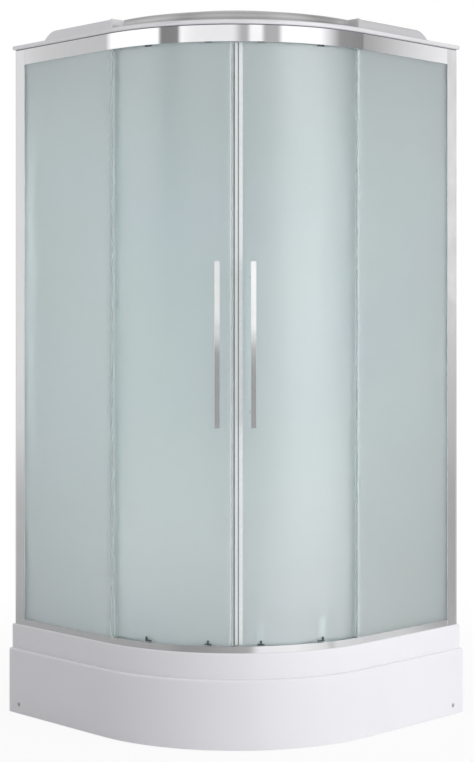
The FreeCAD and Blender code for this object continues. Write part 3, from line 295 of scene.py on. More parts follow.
def moulded(paint, look):                   # injection-moulded plastic or soft vinyl
    grain = paint.noise(look["grainScale"], 3.0)
    colour = paint.clouded(paint.noise(look["toneScale"], 2.0), look, 0.3, 0.7)
    gloss = look["roughness"] + paint.between(grain, -look["spread"], look["spread"], 0.3, 0.7)
    return paint.add("ShaderNodeBsdfPrincipled", {}, {
        "Base Color": colour, "Roughness": gloss, "IOR": look["index"], "Alpha": look["alpha"],
        "Normal": paint.bump(grain, look["grainDepth"], look["grainStrength"])})


mouldedLook = {"index": 1.46, "alpha": 1.0, "spread": 0.05, "grainStrength": 0.4}       # shared by all below
mouldedLooks = {
    "whitePolypropylene": {"colour": (0.80, 0.80, 0.81), "shade": (0.76, 0.76, 0.775), "roughness": 0.35,
                           "grainScale": 260.0, "grainDepth": 0.0003, "toneScale": 20.0},
    "clearSeal": {"colour": (0.93, 0.97, 0.965), "shade": (0.90, 0.955, 0.955), "roughness": 0.16,
                  "grainScale": 90.0, "grainDepth": 0.000002, "toneScale": 14.0,
                  "alpha": 0.28, "spread": 0.006},
    "magnetStrip": {"colour": (0.83, 0.86, 0.87), "shade": (0.80, 0.84, 0.85), "roughness": 0.26,
                    "grainScale": 60.0, "grainDepth": 0.00005, "toneScale": 9.0},
    "magnetCore": {"colour": (0.16, 0.18, 0.185), "shade": (0.11, 0.125, 0.13), "roughness": 0.4,
                   "grainScale": 120.0, "grainDepth": 0.0001, "toneScale": 30.0},
    # dark seam under the roof's lip; its dark colour is partly painted shadow
    "roofSeam": {"colour": (0.20, 0.185, 0.21), "shade": (0.15, 0.14, 0.16), "roughness": 0.5,
                 "grainScale": 200.0, "grainDepth": 0.0002, "toneScale": 20.0},
    "capPlastic": {"colour": (0.42, 0.42, 0.44), "shade": (0.36, 0.36, 0.38), "roughness": 0.34,
                   "grainScale": 320.0, "grainDepth": 0.0002, "toneScale": 90.0},
    "footPlastic": {"colour": (0.045, 0.045, 0.05), "shade": (0.03, 0.03, 0.034), "roughness": 0.5,
                    "grainScale": 320.0, "grainDepth": 0.0004, "toneScale": 40.0},
    "nylonWheel": {"colour": (0.78, 0.77, 0.74), "shade": (0.72, 0.71, 0.68), "roughness": 0.42,
                   "grainScale": 400.0, "grainDepth": 0.0002, "toneScale": 60.0},
    "milkyNylon": {"colour": (0.82, 0.86, 0.86), "shade": (0.78, 0.82, 0.82), "roughness": 0.42,
                   "grainScale": 380.0, "grainDepth": 0.0002, "toneScale": 60.0},
    "darkFitting": {"colour": (0.11, 0.125, 0.13), "shade": (0.08, 0.09, 0.095), "roughness": 0.36,
                    "grainScale": 500.0, "grainDepth": 0.0002, "toneScale": 90.0},
}


def painted(paint, look):                   # glass painted white behind: a glossy skin over a milky ground
    cloud = paint.noise(look["cloudScale"], 3.0)
    # painted light: the walls are paler towards the bottom, lightened by height
    low = paint.between(paint.parts(paint.place())[2], 1.0, 0.0, *look["paintedLightBelow"])
    colour = paint.mix(low, paint.clouded(cloud, look, 0.35, 0.65), look["paintedLightPale"])
    filmAndSheen = paint.noise(look["filmScale"], 3.0, look["filmStretch"])
    gloss = look["roughness"] + paint.between(filmAndSheen, 0.0, look["filmSpread"], 0.4, 0.7)
    return paint.add("ShaderNodeBsdfPrincipled", {}, {
        "Base Color": colour, "Roughness": gloss, "IOR": look["index"],
        "Coat Weight": 1.0, "Coat Roughness": look["coatRoughness"],
        "Normal": paint.bump(cloud, look["cloudDepth"], look["cloudStrength"])})


paintedLook = {"colour": (0.88, 0.905, 0.905), "shade": (0.86, 0.89, 0.89), "paintedLightPale": (0.975, 0.985, 0.985),
               "paintedLightBelow": (0.5, 1.2), "cloudScale": 2.5, "cloudDepth": 0.0004, "cloudStrength": 0.15,
               "filmScale": 6.0, "filmStretch": (1.0, 1.0, 0.4), "filmSpread": 0.06,
               "roughness": 0.12, "coatRoughness": 0.03, "index": 1.52}

finishes = {
    "whiteAcrylic": (acrylic, acrylicLook), "trayAcrylic": (acrylic, trayLook),
    "canopyAcrylic": (acrylic, canopyLook), "frostedGlass": (frosted, frostedLook),
    "backPaintedGlass": (painted, paintedLook), "polishedAluminium": (metal, polishedLook),
    "chrome": (metal, chromeLook), "satinAluminium": (metal, satinLook),
    "galvanisedSteel": (metal, zincLook), "rollerSteel": (metal, pressedLook),
    **{name: (moulded, {**mouldedLook, **look}) for name, look in mouldedLooks.items()},
}
for name, (build, look) in finishes.items():
    material(name, build, look)

finishOfSlot = {
    "white_acrylic": "whiteAcrylic", "frosted_glass": "frostedGlass",
    "back_painted_glass": "backPaintedGlass", "polished_aluminium": "polishedAluminium",
    "chrome": "chrome", "white_polypropylene": "whitePolypropylene",
    "satin_aluminium": "satinAluminium", "clear_seal": "clearSeal", "magnet_strip": "magnetStrip",
    "galvanised_steel": "galvanisedSteel", "foot_plastic": "footPlastic", "nylon_wheel": "nylonWheel",
    "milky_nylon": "milkyNylon", "cap_plastic": "capPlastic", "roller_steel": "rollerSteel",
    "dark_fitting": "darkFitting",
}
slotOfNode = {row["node"]: row["material_slot"] for row in frame["record"]["subparts"]}
finishOfNode = {"tray_basin": "trayAcrylic", "roof_panel": "canopyAcrylic"}
for name, node in nodes.items():
    finish = materials[finishOfNode.get(name, finishOfSlot[slotOfNode[name]])]
    node.data.materials.clear()
    node.data.materials.append(finish)
print("finishes:", len(materials))


# helpers for meshes

def meshPiece(name, points, faces, slot, smooth=True):
    mesh = bpy.data.meshes.new(name)
    mesh.from_pydata([tuple(point) for point in points], [], faces)
    mesh.validate()
    piece = bpy.data.objects.new(name, mesh)
    scene.collection.objects.link(piece)
    mesh.materials.append(materials[finishOfSlot[slot]])
    for face in mesh.polygons:
        face.use_smooth = smooth
    return piece


def applyModifiers(piece):
    bpy.context.view_layer.update()
    graph = bpy.context.evaluated_depsgraph_get()
    baked = bpy.data.meshes.new_from_object(piece.evaluated_get(graph))
    old = piece.data
    piece.modifiers.clear()
    piece.data = baked
    bpy.data.meshes.remove(old)
    baked.name = piece.name


def roundEdges(piece, width, segments=3, limit=35.0):
    bevel = piece.modifiers.new("bevel", "BEVEL")
    bevel.width = width
    bevel.segments = segments
    bevel.limit_method = "ANGLE"
    bevel.angle_limit = math.radians(limit)
    bevel.harden_normals = True
    applyModifiers(piece)


def sideFaces(start, count):                # between one ring of points and the next
    return [[start + step, start + (step + 1) % count,
             start + count + (step + 1) % count, start + count + step] for step in range(count)]


def prismFaces(start, count):               # two ends and the sides between them
    ends = [list(range(start, start + count)), list(range(start + count, start + 2 * count))]
    return ends + sideFaces(start, count)


def boxParts(points, faces, low, high, frameAt):      # adds one box, turned and placed by a matrix
    start = len(points)
    for x in (low[0], high[0]):
        for y in (low[1], high[1]):
            for z in (low[2], high[2]):
                points.append(frameAt @ Vector((x, y, z)))
    for quad in ((0, 1, 3, 2), (4, 6, 7, 5), (0, 4, 5, 1), (2, 3, 7, 6), (0, 2, 6, 4), (1, 5, 7, 3)):
        faces.append([start + corner for corner in quad])


def turnedParts(points, faces, profile, steps, frameAt):      # adds a solid turned about local Z
    rings = []
    for radius, level in profile:
        if radius < 1e-6:                   # a single point on the axis
            rings.append([len(points)])
            points.append(frameAt @ Vector((0.0, 0.0, level)))
            continue
        rings.append(list(range(len(points), len(points) + steps)))
        for step in range(steps):
            turn = 2.0 * math.pi * step / steps
            points.append(frameAt @ Vector((radius * math.cos(turn), radius * math.sin(turn), level)))
    for lower, upper in zip(rings, rings[1:]):
        for step in range(steps):
            after = (step + 1) % steps
            if len(lower) == 1:
                faces.append([lower[0], upper[after], upper[step]])
            elif len(upper) == 1:
                faces.append([lower[step], lower[after], upper[0]])
            else:
                faces.append([lower[step], lower[after], upper[after], upper[step]])


def outwards(points, faces):                # faces all turned the same way, outwards
    work = bmesh.new()
    corners = [work.verts.new(point) for point in points]
    for face in faces:
        work.faces.new([corners[corner] for corner in face])
    bmesh.ops.recalc_face_normals(work, faces=work.faces)
    work.verts.index_update()
    fixed = [[corner.index for corner in face.verts] for face in work.faces]
    work.free()
    return fixed


def across(matrix):                         # mirror image in the plane x = -y
    swap = Matrix(((0, -1, 0, 0), (-1, 0, 0, 0), (0, 0, 1, 0), (0, 0, 0, 1)))
    return swap @ matrix


def onArc(angle, level=0.0):                # local X points outwards from the arc centre
    turn = Matrix.Rotation(math.radians(angle), 4, "Z")
    return Matrix.Translation(arcCentre + Vector((0, 0, level))) @ turn


def onSide(side, matrix):                   # a place of the left door, or its image on the right one
    return across(matrix) if side == "right" else matrix


def spaced(first, last, steps):             # evenly spaced numbers, both ends included
    return [first + (last - first) * step / steps for step in range(steps + 1)]


def clamp(value):
    return min(max(value, 0.0), 1.0)


def frontPath(inset, end, look):            # plan points along the front, from wall end to wall end
    side = -halfSide + inset
    straight = [Vector((x, side)) for x in spaced(end, arcCentre.x, look["straightSteps"])]
    rounded = []
    for turn in spaced(-90.0, 0.0, look["roundSteps"])[1:-1]:
        reach = trayRadius - inset
        rounded.append(Vector((arcCentre.x + reach * math.cos(math.radians(turn)),
                               arcCentre.y + reach * math.sin(math.radians(turn)))))
    return straight + rounded + [Vector((-point.y, -point.x)) for point in reversed(straight)]


def uprightStrip(name, outline, side, look, slot, trim=0.0):
    # outline of radii and of distances from the meeting line
    points = []
    for level in (look["low"] + trim, look["high"] - trim):
        for radius, away in outline:
            place = onSide(side, onArc(meetingAngle - math.degrees(away / radius), level))
            points.append(place @ Vector((radius, 0, 0)))
    faces = outwards(points, prismFaces(0, len(outline)))
    piece = meshPiece(name, points, faces, slot, False)
    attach(piece, f"door_{side}")
    return piece


cameraLook = {"distance": 5.232, "sideways": 0.046, "height": 1.223, "yaw": -0.0081,
              "lens": 79.2, "sensor": 36.0, "shiftX": 0.0, "shiftY": -0.0794}


def makeCamera(look):
    data = bpy.data.cameras.new("photoCamera")
    camera = bpy.data.objects.new("photoCamera", data)
    scene.collection.objects.link(camera)
    diagonal = Vector((1, -1, 0)).normalized()
    right = Vector((1, 1, 0)).normalized()
    above = Vector((0, 0, look["height"]))
    camera.location = diagonal * look["distance"] + right * look["sideways"] + above
    ahead = -diagonal * math.cos(look["yaw"]) + right * math.sin(look["yaw"])
    camera.rotation_euler = (math.pi / 2, 0.0, math.atan2(-ahead.x, ahead.y))
    data.lens = look["lens"]
    data.sensor_width = look["sensor"]
    data.shift_x = look["shiftX"]
    data.shift_y = look["shiftY"]
    scene.camera = camera


# levels by direction in plan, degrees from +X; the camera stands at -45
studioLook = {
    "fill": [(-1.0, 0.30), (0.2, 0.31), (0.6, 0.62), (1.0, 1.0)],     # for plain surfaces, by height
    "floor": (0.84, 0.84, 0.85), "floorSpot": (0.82, 0.82, 0.83), "floorGrain": 30.0, "floorReach": 80.0,
    "floorGlow": (0.90, 1.0), "glowFrom": (0.9, 2.4), "floorMirror": 0.92, "floorThrough": 1.0,
    "keyPower": 150.0, "keySize": (5.0, 2.6), "keyTurn": 5.0, "keyHeight": 1.6, "keyDistance": 5.5,
    "keyAim": 1.1,
    # what shiny faces see around them, then above
    "ring": [(-180, 0.98), (-150, 0.95), (-144.5, 0.97), (-141.8, 0.55), (-138, 0.53), (-135, 1.06),
             (-97, 1.06), (-95, 0.22), (-83, 0.24), (-81, 1.0), (-75, 0.90), (-70, 0.86), (-46, 0.86),
             (-41, 0.45), (-37, 0.45), (-35, 1.0), (-28, 1.0), (-26, 0.43), (-17, 0.45), (-14, 1.06),
             (13, 1.06), (28, 0.31), (48.2, 0.25), (49.1, 0.32), (49.5, 0.66), (51.2, 0.80), (52.5, 1.0),
             (90, 0.95), (180, 0.98)],
    "rise": [(-1.0, 0.9), (0.0, 1.0), (0.26, 1.0), (0.5, 0.52), (0.75, 0.55), (1.0, 0.95)],
    # what shiny faces see on the floor, close by and far off
    "nearFloor": [(-180, 0.6), (-150, 0.5), (-144, 0.34), (-85, 0.32), (-74, 0.26), (-64, 0.27),
                  (-46, 0.33), (-37, 0.38), (-32, 0.84), (-10, 0.88), (9, 0.72), (12, 0.5), (16, 0.72),
                  (42, 0.62), (47, 0.36), (180, 0.5)],
    "middleFloor": [(-180, 0.5), (-144, 0.40), (-136, 0.40), (-128, 1.0), (38, 1.0), (45, 0.36),
                    (60, 0.36), (180, 0.5)],
    "farFloor": [(-180, 0.78), (-72, 0.76), (-62, 0.32), (-28, 0.32), (-18, 0.76), (44, 0.76),
                 (50, 0.5), (180, 0.78)],
    "middleFrom": (2.3, 3.0), "farFrom": (8.0, 13.0),
}


def floorPaper(paint, look):                # white to the camera, toned where shiny faces mirror it
    camera, glossy, through = paint.rays()
    x, y = paint.parts(paint.place())[:2]
    x, y = x - arcCentre.x, y - arcCentre.y
    reach = paint.reach(x, y)
    turn = paint.turn(x, y)
    near, middle, far = [paint.ramp(turn, look[zone]) for zone in ("nearFloor", "middleFloor", "farFloor")]
    sheen = paint.mix(paint.between(reach, 0.0, 1.0, *look["middleFrom"]), near, middle)
    sheen = paint.mix(paint.between(reach, 0.0, 1.0, *look["farFrom"]), sheen, far)
    colour = paint.mix(paint.noise(look["floorGrain"]), look["floor"], look["floorSpot"])
    plain = paint.add("ShaderNodeBsdfDiffuse", {}, {"Color": colour})
    mirrored = glossy * (1.0 - through)
    glow = paint.add("ShaderNodeEmission", {}, {"Color": paint.mix(mirrored, (1.0, 1.0, 1.0), sheen)})
    share = camera * paint.between(reach, *look["floorGlow"], *look["glowFrom"])
    share = share + (1.0 - camera) * (mirrored * look["floorMirror"] + through * look["floorThrough"])
    return paint.add("ShaderNodeMixShader", {}, {0: share, 1: plain, 2: glow})


def makeWorld(look):
    scene.view_settings.view_transform = "Standard"
    world = bpy.data.worlds.new("studio")
    scene.world = world
    world.use_nodes = True
    paint = Paint(world.node_tree)
    camera, glossy, through = paint.rays()
    x, y, z = paint.parts(paint.add("ShaderNodeTexCoord", output="Generated"))
    mirrored = paint.ramp(paint.turn(x, y), look["ring"]) * paint.ramp(z, look["rise"])
    seen = glossy * mirrored + (1.0 - glossy) * paint.ramp(z, look["fill"])
    level = camera + (1.0 - camera) * (through + (1.0 - through) * seen)
    backdrop = paint.add("ShaderNodeBackground", {}, {"Color": level})
    paint.add("ShaderNodeOutputWorld", {}, {0: backdrop})


def makeFloor(look):
    paper = material("studioFloor", floorPaper, look)
    mesh = bpy.data.meshes.new("studioFloor")
    reach = look["floorReach"]
    corners = [(-reach, -reach, 0), (reach, -reach, 0), (reach, reach, 0), (-reach, reach, 0)]
    mesh.from_pydata(corners, [], [(0, 1, 2, 3)])
    mesh.materials.append(paper)
    floor = bpy.data.objects.new("studioFloor", mesh)
    scene.collection.objects.link(floor)


def makeKey(look):
    lamp = bpy.data.lights.new("keyLight", "AREA")
    lamp.shape = "RECTANGLE"
    lamp.size, lamp.size_y = look["keySize"]
    lamp.energy = look["keyPower"]
    key = bpy.data.objects.new("keyLight", lamp)
    scene.collection.objects.link(key)
    turn = math.radians(look["keyTurn"])
    ahead = Vector((math.cos(turn), math.sin(turn), 0))
    key.location = ahead * look["keyDistance"] + Vector((0, 0, look["keyHeight"]))
    aim = Vector((0, 0, look["keyAim"])) - key.location
    key.rotation_euler = aim.to_track_quat("-Z", "Y").to_euler()
    key.visible_camera = False
    key.visible_glossy = False              # the ring gives the shiny faces their lights


makeCamera(cameraLook)
makeWorld(studioLook)
makeFloor(studioLook)
makeKey(studioLook)
print("camera and studio ready")


roofLook = {
    "deck": 2.080, "sheet": 0.0035, "wallEnd": -0.496,
    # the wings: raised ridges along the straight sides
    "wingFoot": -0.4150, "wingSlope": 0.078, "wingRise": 0.036, "wingEase": 0.3, "wingEnd": -0.064,
    "wingFall": 0.004, "wingOuter": 0.050, "wingLap": 0.0010, "wingEdge": 0.0065, "wingInner": 0.112,
    "flatEnd": 0.008, "afterWing": 0.004,
    "bead": 0.0028, "beadLength": 0.012,    # rolled edge at the end of each wing
    # how finely each stretch is divided, and how far apart its points are kept
    "flatSteps": 7, "slopeSteps": 20, "levelSteps": 8, "beadSteps": 6, "roundSteps": 96, "wallSteps": 24,
    "apart": 0.0003,
}
# front inset, rear inset and level of each ring, from under the lip to the crown
roofRings = [
    (0.0230, 0.0120, 2.0676), (0.0175, 0.0092, 2.0673), (0.0150, 0.0078, 2.0675), (0.0118, 0.0060, 2.0682),
    (0.0101, 0.0047, 2.0692), (0.0094, 0.0041, 2.0706), (0.0093, 0.0040, 2.0722), (0.0093, 0.0040, 2.0766),
    (0.0095, 0.0042, 2.0780), (0.0101, 0.0047, 2.0790), (0.0112, 0.0056, 2.0797), (0.0142, 0.0076, 2.0801),
    (0.0200, 0.0110, 2.0803), (0.0300, 0.0160, 2.0804), (0.0440, 0.0240, 2.0806),
    (0.0485, 0.0280, 2.0807), (0.0493, 0.0290, 2.0808), (0.0500, 0.0300, 2.0808), (0.0512, 0.0310, 2.0808),
    (0.0528, 0.0330, 2.0809), (0.0548, 0.0360, 2.0809), (0.0575, 0.0400, 2.0810), (0.0700, 0.0600, 2.0812),
    (0.0820, 0.0950, 2.0814), (0.0868, 0.1018, 2.0819), (0.0890, 0.1040, 2.0830), (0.0903, 0.1053, 2.0850),
    (0.0915, 0.1065, 2.0890), (0.0945, 0.1095, 2.1010), (0.0968, 0.1118, 2.1100), (0.0980, 0.1130, 2.1148),
    (0.0996, 0.1146, 2.1178), (0.1022, 0.1172, 2.1195), (0.1060, 0.1210, 2.1203), (0.1300, 0.1400, 2.1210),
    (0.1820, 0.1840, 2.1218), (0.1920, 0.1930, 2.1232), (0.2020, 0.2030, 2.1268), (0.2200, 0.2210, 2.1358),
    (0.2380, 0.2390, 2.1448), (0.2470, 0.2480, 2.1480), (0.2600, 0.2610, 2.1492), (0.3200, 0.3200, 2.1497),
    (0.4200, 0.4200, 2.1500),
]


def wingHeight(x, inset, look):             # two tangent arcs up, then level, then a steep end
    slope, rise, outer = look["wingSlope"], look["wingRise"], look["wingOuter"]
    run = min(max(x - look["wingFoot"], 0.0), slope)
    bend = (slope ** 2 + rise ** 2) / (2.0 * rise)
    low, high = bend * look["wingEase"], bend * (1.0 - look["wingEase"])
    if run < slope * look["wingEase"]:
        lift = low - math.sqrt(low ** 2 - run ** 2)
    else:
        lift = rise - high + math.sqrt(high ** 2 - (slope - run) ** 2)
    past = x - look["wingEnd"] + look["wingFall"]
    fall = 1.0 - clamp(past / look["wingFall"])
    edge = clamp((inset - outer + look["wingLap"]) / look["wingEdge"])
    bead = look["bead"] * math.sin(math.pi * clamp((past + look["beadLength"]) / look["beadLength"])) ** 2
    return look["deck"] + (lift + bead) * fall * math.sqrt(1.0 - (1.0 - edge) ** 2)


def straightPlaces(look):                   # x of the points along the straight side, close where it bends
    foot, end = look["wingFoot"], look["wingEnd"]
    top, bead = foot + look["wingSlope"], end - look["wingFall"] - look["beadLength"]
    flat = spaced(look["wallEnd"], foot - look["flatEnd"], look["flatSteps"])
    slope = spaced(foot, top, look["slopeSteps"])
    ridge = spaced(top, bead, look["levelSteps"])[1:]
    rolled = spaced(bead, bead + look["beadLength"], look["beadSteps"])[1:]
    last = [end - look["wingFall"] * 0.5, end, end + look["afterWing"], arcCentre.x]
    return flat + slope + ridge + rolled + last


def roofLoop(inset, rear, level, look):     # one ring of the roof, anticlockwise from the left wall
    side, wall, back = -halfSide + inset, -halfSide + rear, halfSide - rear
    places = straightPlaces(look)
    loop = []
    for step, x in enumerate(places):
        x = wall if step == 0 else max(x, wall + look["apart"] * step)
        high = level
        if look["wingOuter"] - look["wingLap"] < inset < look["wingInner"]:
            high = max(level, wingHeight(x, inset, look))
        loop.append(Vector((x, side, high)))
    left = list(loop)
    for turn in spaced(-90.0, 0.0, look["roundSteps"])[1:-1]:
        reach = trayRadius - inset
        loop.append(Vector((arcCentre.x + reach * math.cos(math.radians(turn)),
                            arcCentre.y + reach * math.sin(math.radians(turn)), level)))
    loop += [Vector((-point.y, -point.x, point.z)) for point in reversed(left)]
    loop += [Vector((x, back, level)) for x in spaced(-side, -back, look["wallSteps"])[1:]]
    loop += [Vector((-back, y, level)) for y in spaced(back, side, look["wallSteps"])[1:-1]]
    return loop


def makeRoof(look):
    rings = [roofLoop(inset, rear, level, look) for inset, rear, level in roofRings]
    points = [point for loop in rings for point in loop]
    count = len(rings[0])
    faces = []
    for ring in range(len(rings) - 1):
        faces += sideFaces(ring * count, count)
    top, middle = (len(rings) - 1) * count, len(points)
    points.append(sum(rings[-1], Vector()) / count)
    faces += [[top + step, top + (step + 1) % count, middle] for step in range(count)]
    piece = meshPiece("roofCanopy", points, faces, "white_acrylic")
    piece.data.materials[0] = materials["canopyAcrylic"]
    skin = piece.modifiers.new("sheet", "SOLIDIFY")
    skin.thickness = look["sheet"]
    skin.offset = -1.0
    skin.use_even_offset = False
    applyModifiers(piece)
    for face in piece.data.polygons:
        face.use_smooth = True
    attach(piece, "cabin")
    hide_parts("roof_panel")


# insets and levels of the dark seam under the lip, whose dark colour also paints the shadow there, and how
# finely it is swept
seamShadowLook = {
    "section": [(0.0166, 2.0651), (0.0166, 2.0670), (0.0175, 2.0673), (0.0205, 2.0673), (0.0205, 2.0651)],
    "end": -0.4885, "straightSteps": 8, "roundSteps": 72,
}


def makeSeamShadow(look):
    section = look["section"]
    count = len(section)
    paths = [frontPath(inset, look["end"], look) for inset, level in section]
    points = [Vector((*path[step], level)) for step in range(len(paths[0]))
              for path, (inset, level) in zip(paths, section)]
    faces = []
    for step in range(len(paths[0]) - 1):
        faces += sideFaces(step * count, count)
    faces += [list(range(count)), list(range(len(points) - count, len(points)))]
    seam = meshPiece("roofSeam", points, outwards(points, faces), "clear_seal", False)
    seam.data.materials[0] = materials["roofSeam"]
    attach(seam, "cabin")


makeRoof(roofLook)
makeSeamShadow(seamShadowLook)
print("roof made")


handleLook = {
    "angle": 5.4, "shift": 0.30, "width": 0.016, "thick": 0.008, "low": 0.917, "high": 1.392,
    "outer": 0.545, "inner": 0.476, "edge": 0.0012, "glassOuter": 0.517, "glassInner": 0.512,
    "studs": (0.962, 1.347), "stud": 0.005, "sunk": 0.001,
    "washer": 0.0060, "washerThick": 0.0022, "washerEdge": 0.0006, "washerGap": 0.0001,
    "studEdge": 0.0002, "studSteps": 28,
}


def makeHandleBar(look, side, where, near, shift, place):
    points, faces = [], []
    stand = place @ Matrix.Rotation(math.radians(shift), 4, "Z")
    boxParts(points, faces, (near, -look["width"] / 2, look["low"]),
             (near + look["thick"], look["width"] / 2, look["high"]), stand)
    piece = meshPiece(f"doorHandle{where}_{side}", points, outwards(points, faces), "chrome", False)
    roundEdges(piece, look["edge"], 3)
    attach(piece, f"door_{side}")
    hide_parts(f"door_handle_{where.lower()}_{side}")


def makeHandleStuds(look, side, place):     # they join the outer bar to the inner one through the glass
    points, faces = [], []
    stud, washer, edge, gap = look["stud"], look["washer"], look["washerEdge"], look["washerGap"]
    innerEnd, outerEnd = look["inner"] + look["thick"] - look["sunk"], look["outer"] + look["sunk"]
    innerFace, outerFace = look["glassInner"] - look["washerThick"], look["glassOuter"] + look["washerThick"]
    profile = [
        (0.0, innerEnd), (stud, innerEnd), (stud, innerFace),
        (washer - edge, innerFace), (washer, innerFace + edge),
        (washer, look["glassInner"] - gap), (stud, look["glassInner"] - gap),
        (stud, look["glassOuter"] + gap), (washer, look["glassOuter"] + gap),
        (washer, outerFace - edge), (washer - edge, outerFace),
        (stud, outerFace), (stud, outerEnd), (0.0, outerEnd)]
    for level in look["studs"]:
        lay = place @ Matrix.Translation((0, 0, level)) @ Matrix.Rotation(math.pi / 2, 4, "Y")
        turnedParts(points, faces, profile, look["studSteps"], lay)
    piece = meshPiece(f"doorHandleStuds_{side}", points, outwards(points, faces), "chrome", False)
    roundEdges(piece, look["studEdge"], 1, 40.0)
    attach(piece, f"door_{side}")
    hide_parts(f"door_handle_studs_{side}")


def makeHandles(look):
    for side in ("left", "right"):
        place = onSide(side, onArc(meetingAngle - look["angle"]))
        shift = look["shift"] if side == "left" else -look["shift"]
        makeHandleBar(look, side, "Outer", look["outer"], shift, place)
        makeHandleBar(look, side, "Inner", look["inner"], 0.0, place)
        makeHandleStuds(look, side, place)


makeHandles(handleLook)
print("handles made")


# the strips where the doors meet; distances from the meeting line
stripLook = {
    "low": 0.2966, "high": 2.0164, "skin": 0.0016, "glass": (0.512, 0.517), "glassEdge": 0.0097,
    "play": 0.0002, "soft": 0.0004, "tip": 0.0006, "back": 0.0160, "grooveDepth": 0.0009,
    "shelfDepth": 0.0003,
    "coreFrom": 0.0004, "coreGap": 0.0001, "coreInset": 0.0006, "coreTrim": 0.001,
    # a white bead along the free edge
    "left": {"gap": 0.0026, "core": 0.0058, "groove": 0.0070, "rib": 0.0112, "end": 0.0140,
             "slot": "clear_seal", "finish": "magnetStrip", "edges": (6, 7, 8)},
    # a dark groove between rib and flap
    "right": {"gap": 0.0012, "core": 0.0096, "groove": 0.0124, "rib": 0.0226, "end": 0.0240,
              "slot": "magnet_strip", "finish": "magnetCore", "edges": (2, 3, 4)},
}


def stripOutline(look, form):               # (radius, distance) round the strip's section
    inner, outer = look["glass"]
    skin, play, gap = look["skin"], look["play"], form["gap"]
    face = outer + skin
    sunk, shelf = face - look["grooveDepth"], face - look["shelfDepth"]
    return [
        (face - look["soft"], gap), (face, gap + look["tip"]), (face, form["core"]),
        (sunk, form["core"] + play), (sunk, form["groove"] - play), (shelf, form["groove"]),
        (shelf, form["rib"]), (face, form["rib"] + look["soft"]), (face - play, form["end"]),
        (outer + play, form["end"]), (outer + play, look["glassEdge"]), (inner - play, look["glassEdge"]),
        (inner - play, look["back"]), (inner - skin, look["back"]), (inner - skin, gap)]


def makeStrips(look):
    inner, outer = look["glass"]
    inset = look["coreInset"]
    for side in ("left", "right"):
        form = look[side]
        outline = stripOutline(look, form)
        strip = uprightStrip(f"meetingStrip_{side}", outline, side, look, form["slot"])
        strip.data.materials.append(materials[form["finish"]])
        for edge in form["edges"]:
            strip.data.polygons[edge + 2].material_index = 1          # after the two ends
        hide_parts(f"door_magnet_strip_{side}")
        first, last = look["coreFrom"], form["gap"] - look["coreGap"]
        core = uprightStrip(f"meetingMagnet_{side}", [
            (outer - inset, first), (outer - inset, last), (inner + inset, last), (inner + inset, first)],
            side, look, "magnet_strip", look["coreTrim"])
        core.data.materials[0] = materials["magnetCore"]


makeStrips(stripLook)
print("meeting strips made")


# clamps of the rollers on the outside of the door glass; each foot stands "drop" below its bolt
clampLook = {
    "angles": {"near": -53.4, "far": -74.5}, "levels": {"lower": 0.305, "upper": 2.023},
    "foot": {"near": (-0.010, 0.010), "far": (-0.004, 0.018)}, "footHigh": 0.0032,
    "stem": 0.0056, "stemHigh": 0.0128, "face": 0.5171, "thick": 0.0034, "edge": 0.0006, "drop": 0.0095,
    "screw": 0.0026, "screwThick": 0.0012, "screwEdge": 0.0007, "slot": 0.0009, "slotDepth": 0.0005,
    "slotTaper": 0.0002, "screwSunk": 0.0004, "gap": 0.0001, "shank": 0.0022, "shankFrom": 0.500,
    "shankSteps": 16, "screwSteps": 24,
    "tuck": {"near": 0.0052, "far": 0.0022},    # the upper clamps hide behind the rail
}


def addClamp(points, faces, look, place, stand, low):
    first, last = look["foot"][place]
    half, tall, foot = look["stem"] / 2, look["stemHigh"], look["footHigh"]
    outline = [(first, 0.0), (last, 0.0), (last, foot), (half, foot), (half, tall), (-half, tall),
               (-half, foot), (first, foot)]
    start = len(points)
    for x in (look["face"], look["face"] + look["thick"]):
        points += [stand @ Vector((x, y, low + z)) for y, z in outline]
    faces += prismFaces(start, len(outline))


def addScrew(points, faces, look, stand, level):
    lay = stand @ Matrix.Translation((0, 0, level)) @ Matrix.Rotation(math.pi / 2, 4, "Y")
    end = look["face"] - look["gap"]
    shank, screw, slot = look["shank"], look["screw"], look["slot"]
    turnedParts(points, faces, [
        (0.0, look["shankFrom"]), (shank, look["shankFrom"]), (shank, end), (0.0, end)],
        look["shankSteps"], lay)
    head, sunk = look["face"] + look["thick"] + look["gap"], look["screwSunk"]
    top, floor = head + look["screwThick"], head + look["slotDepth"]
    turnedParts(points, faces, [
        (0.0, head - sunk), (screw, head - sunk), (screw, head + sunk), (screw - look["screwEdge"], top),
        (slot, top), (slot - look["slotTaper"], floor), (0.0, floor)], look["screwSteps"], lay)


def makeClamps(look):
    for side in ("left", "right"):
        points, faces = [], []
        for place, angle in look["angles"].items():
            for row, level in look["levels"].items():
                low = level - look["drop"] + (look["tuck"][place] if row == "upper" else 0.0)
                stand = onSide(side, onArc(angle))
                addClamp(points, faces, look, place, stand, low)
                addScrew(points, faces, look, stand, level)
        piece = meshPiece(f"rollerClamps_{side}", points, outwards(points, faces), "dark_fitting", False)
        roundEdges(piece, look["edge"], 2, 50.0)
        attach(piece, f"door_{side}")
        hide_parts(f"roller_bolts_{side}")


makeClamps(clampLook)
print("clamps made")


coverStripLook = {"outer": -0.4890, "inner": -0.4440, "face": -0.4848, "back": -0.4822,
                  "low": 0.2765, "high": 2.0648, "edge": 0.00021,
                  "groove": 0.0005, "grooveFrom": 0.0040, "grooveWide": 0.0016}


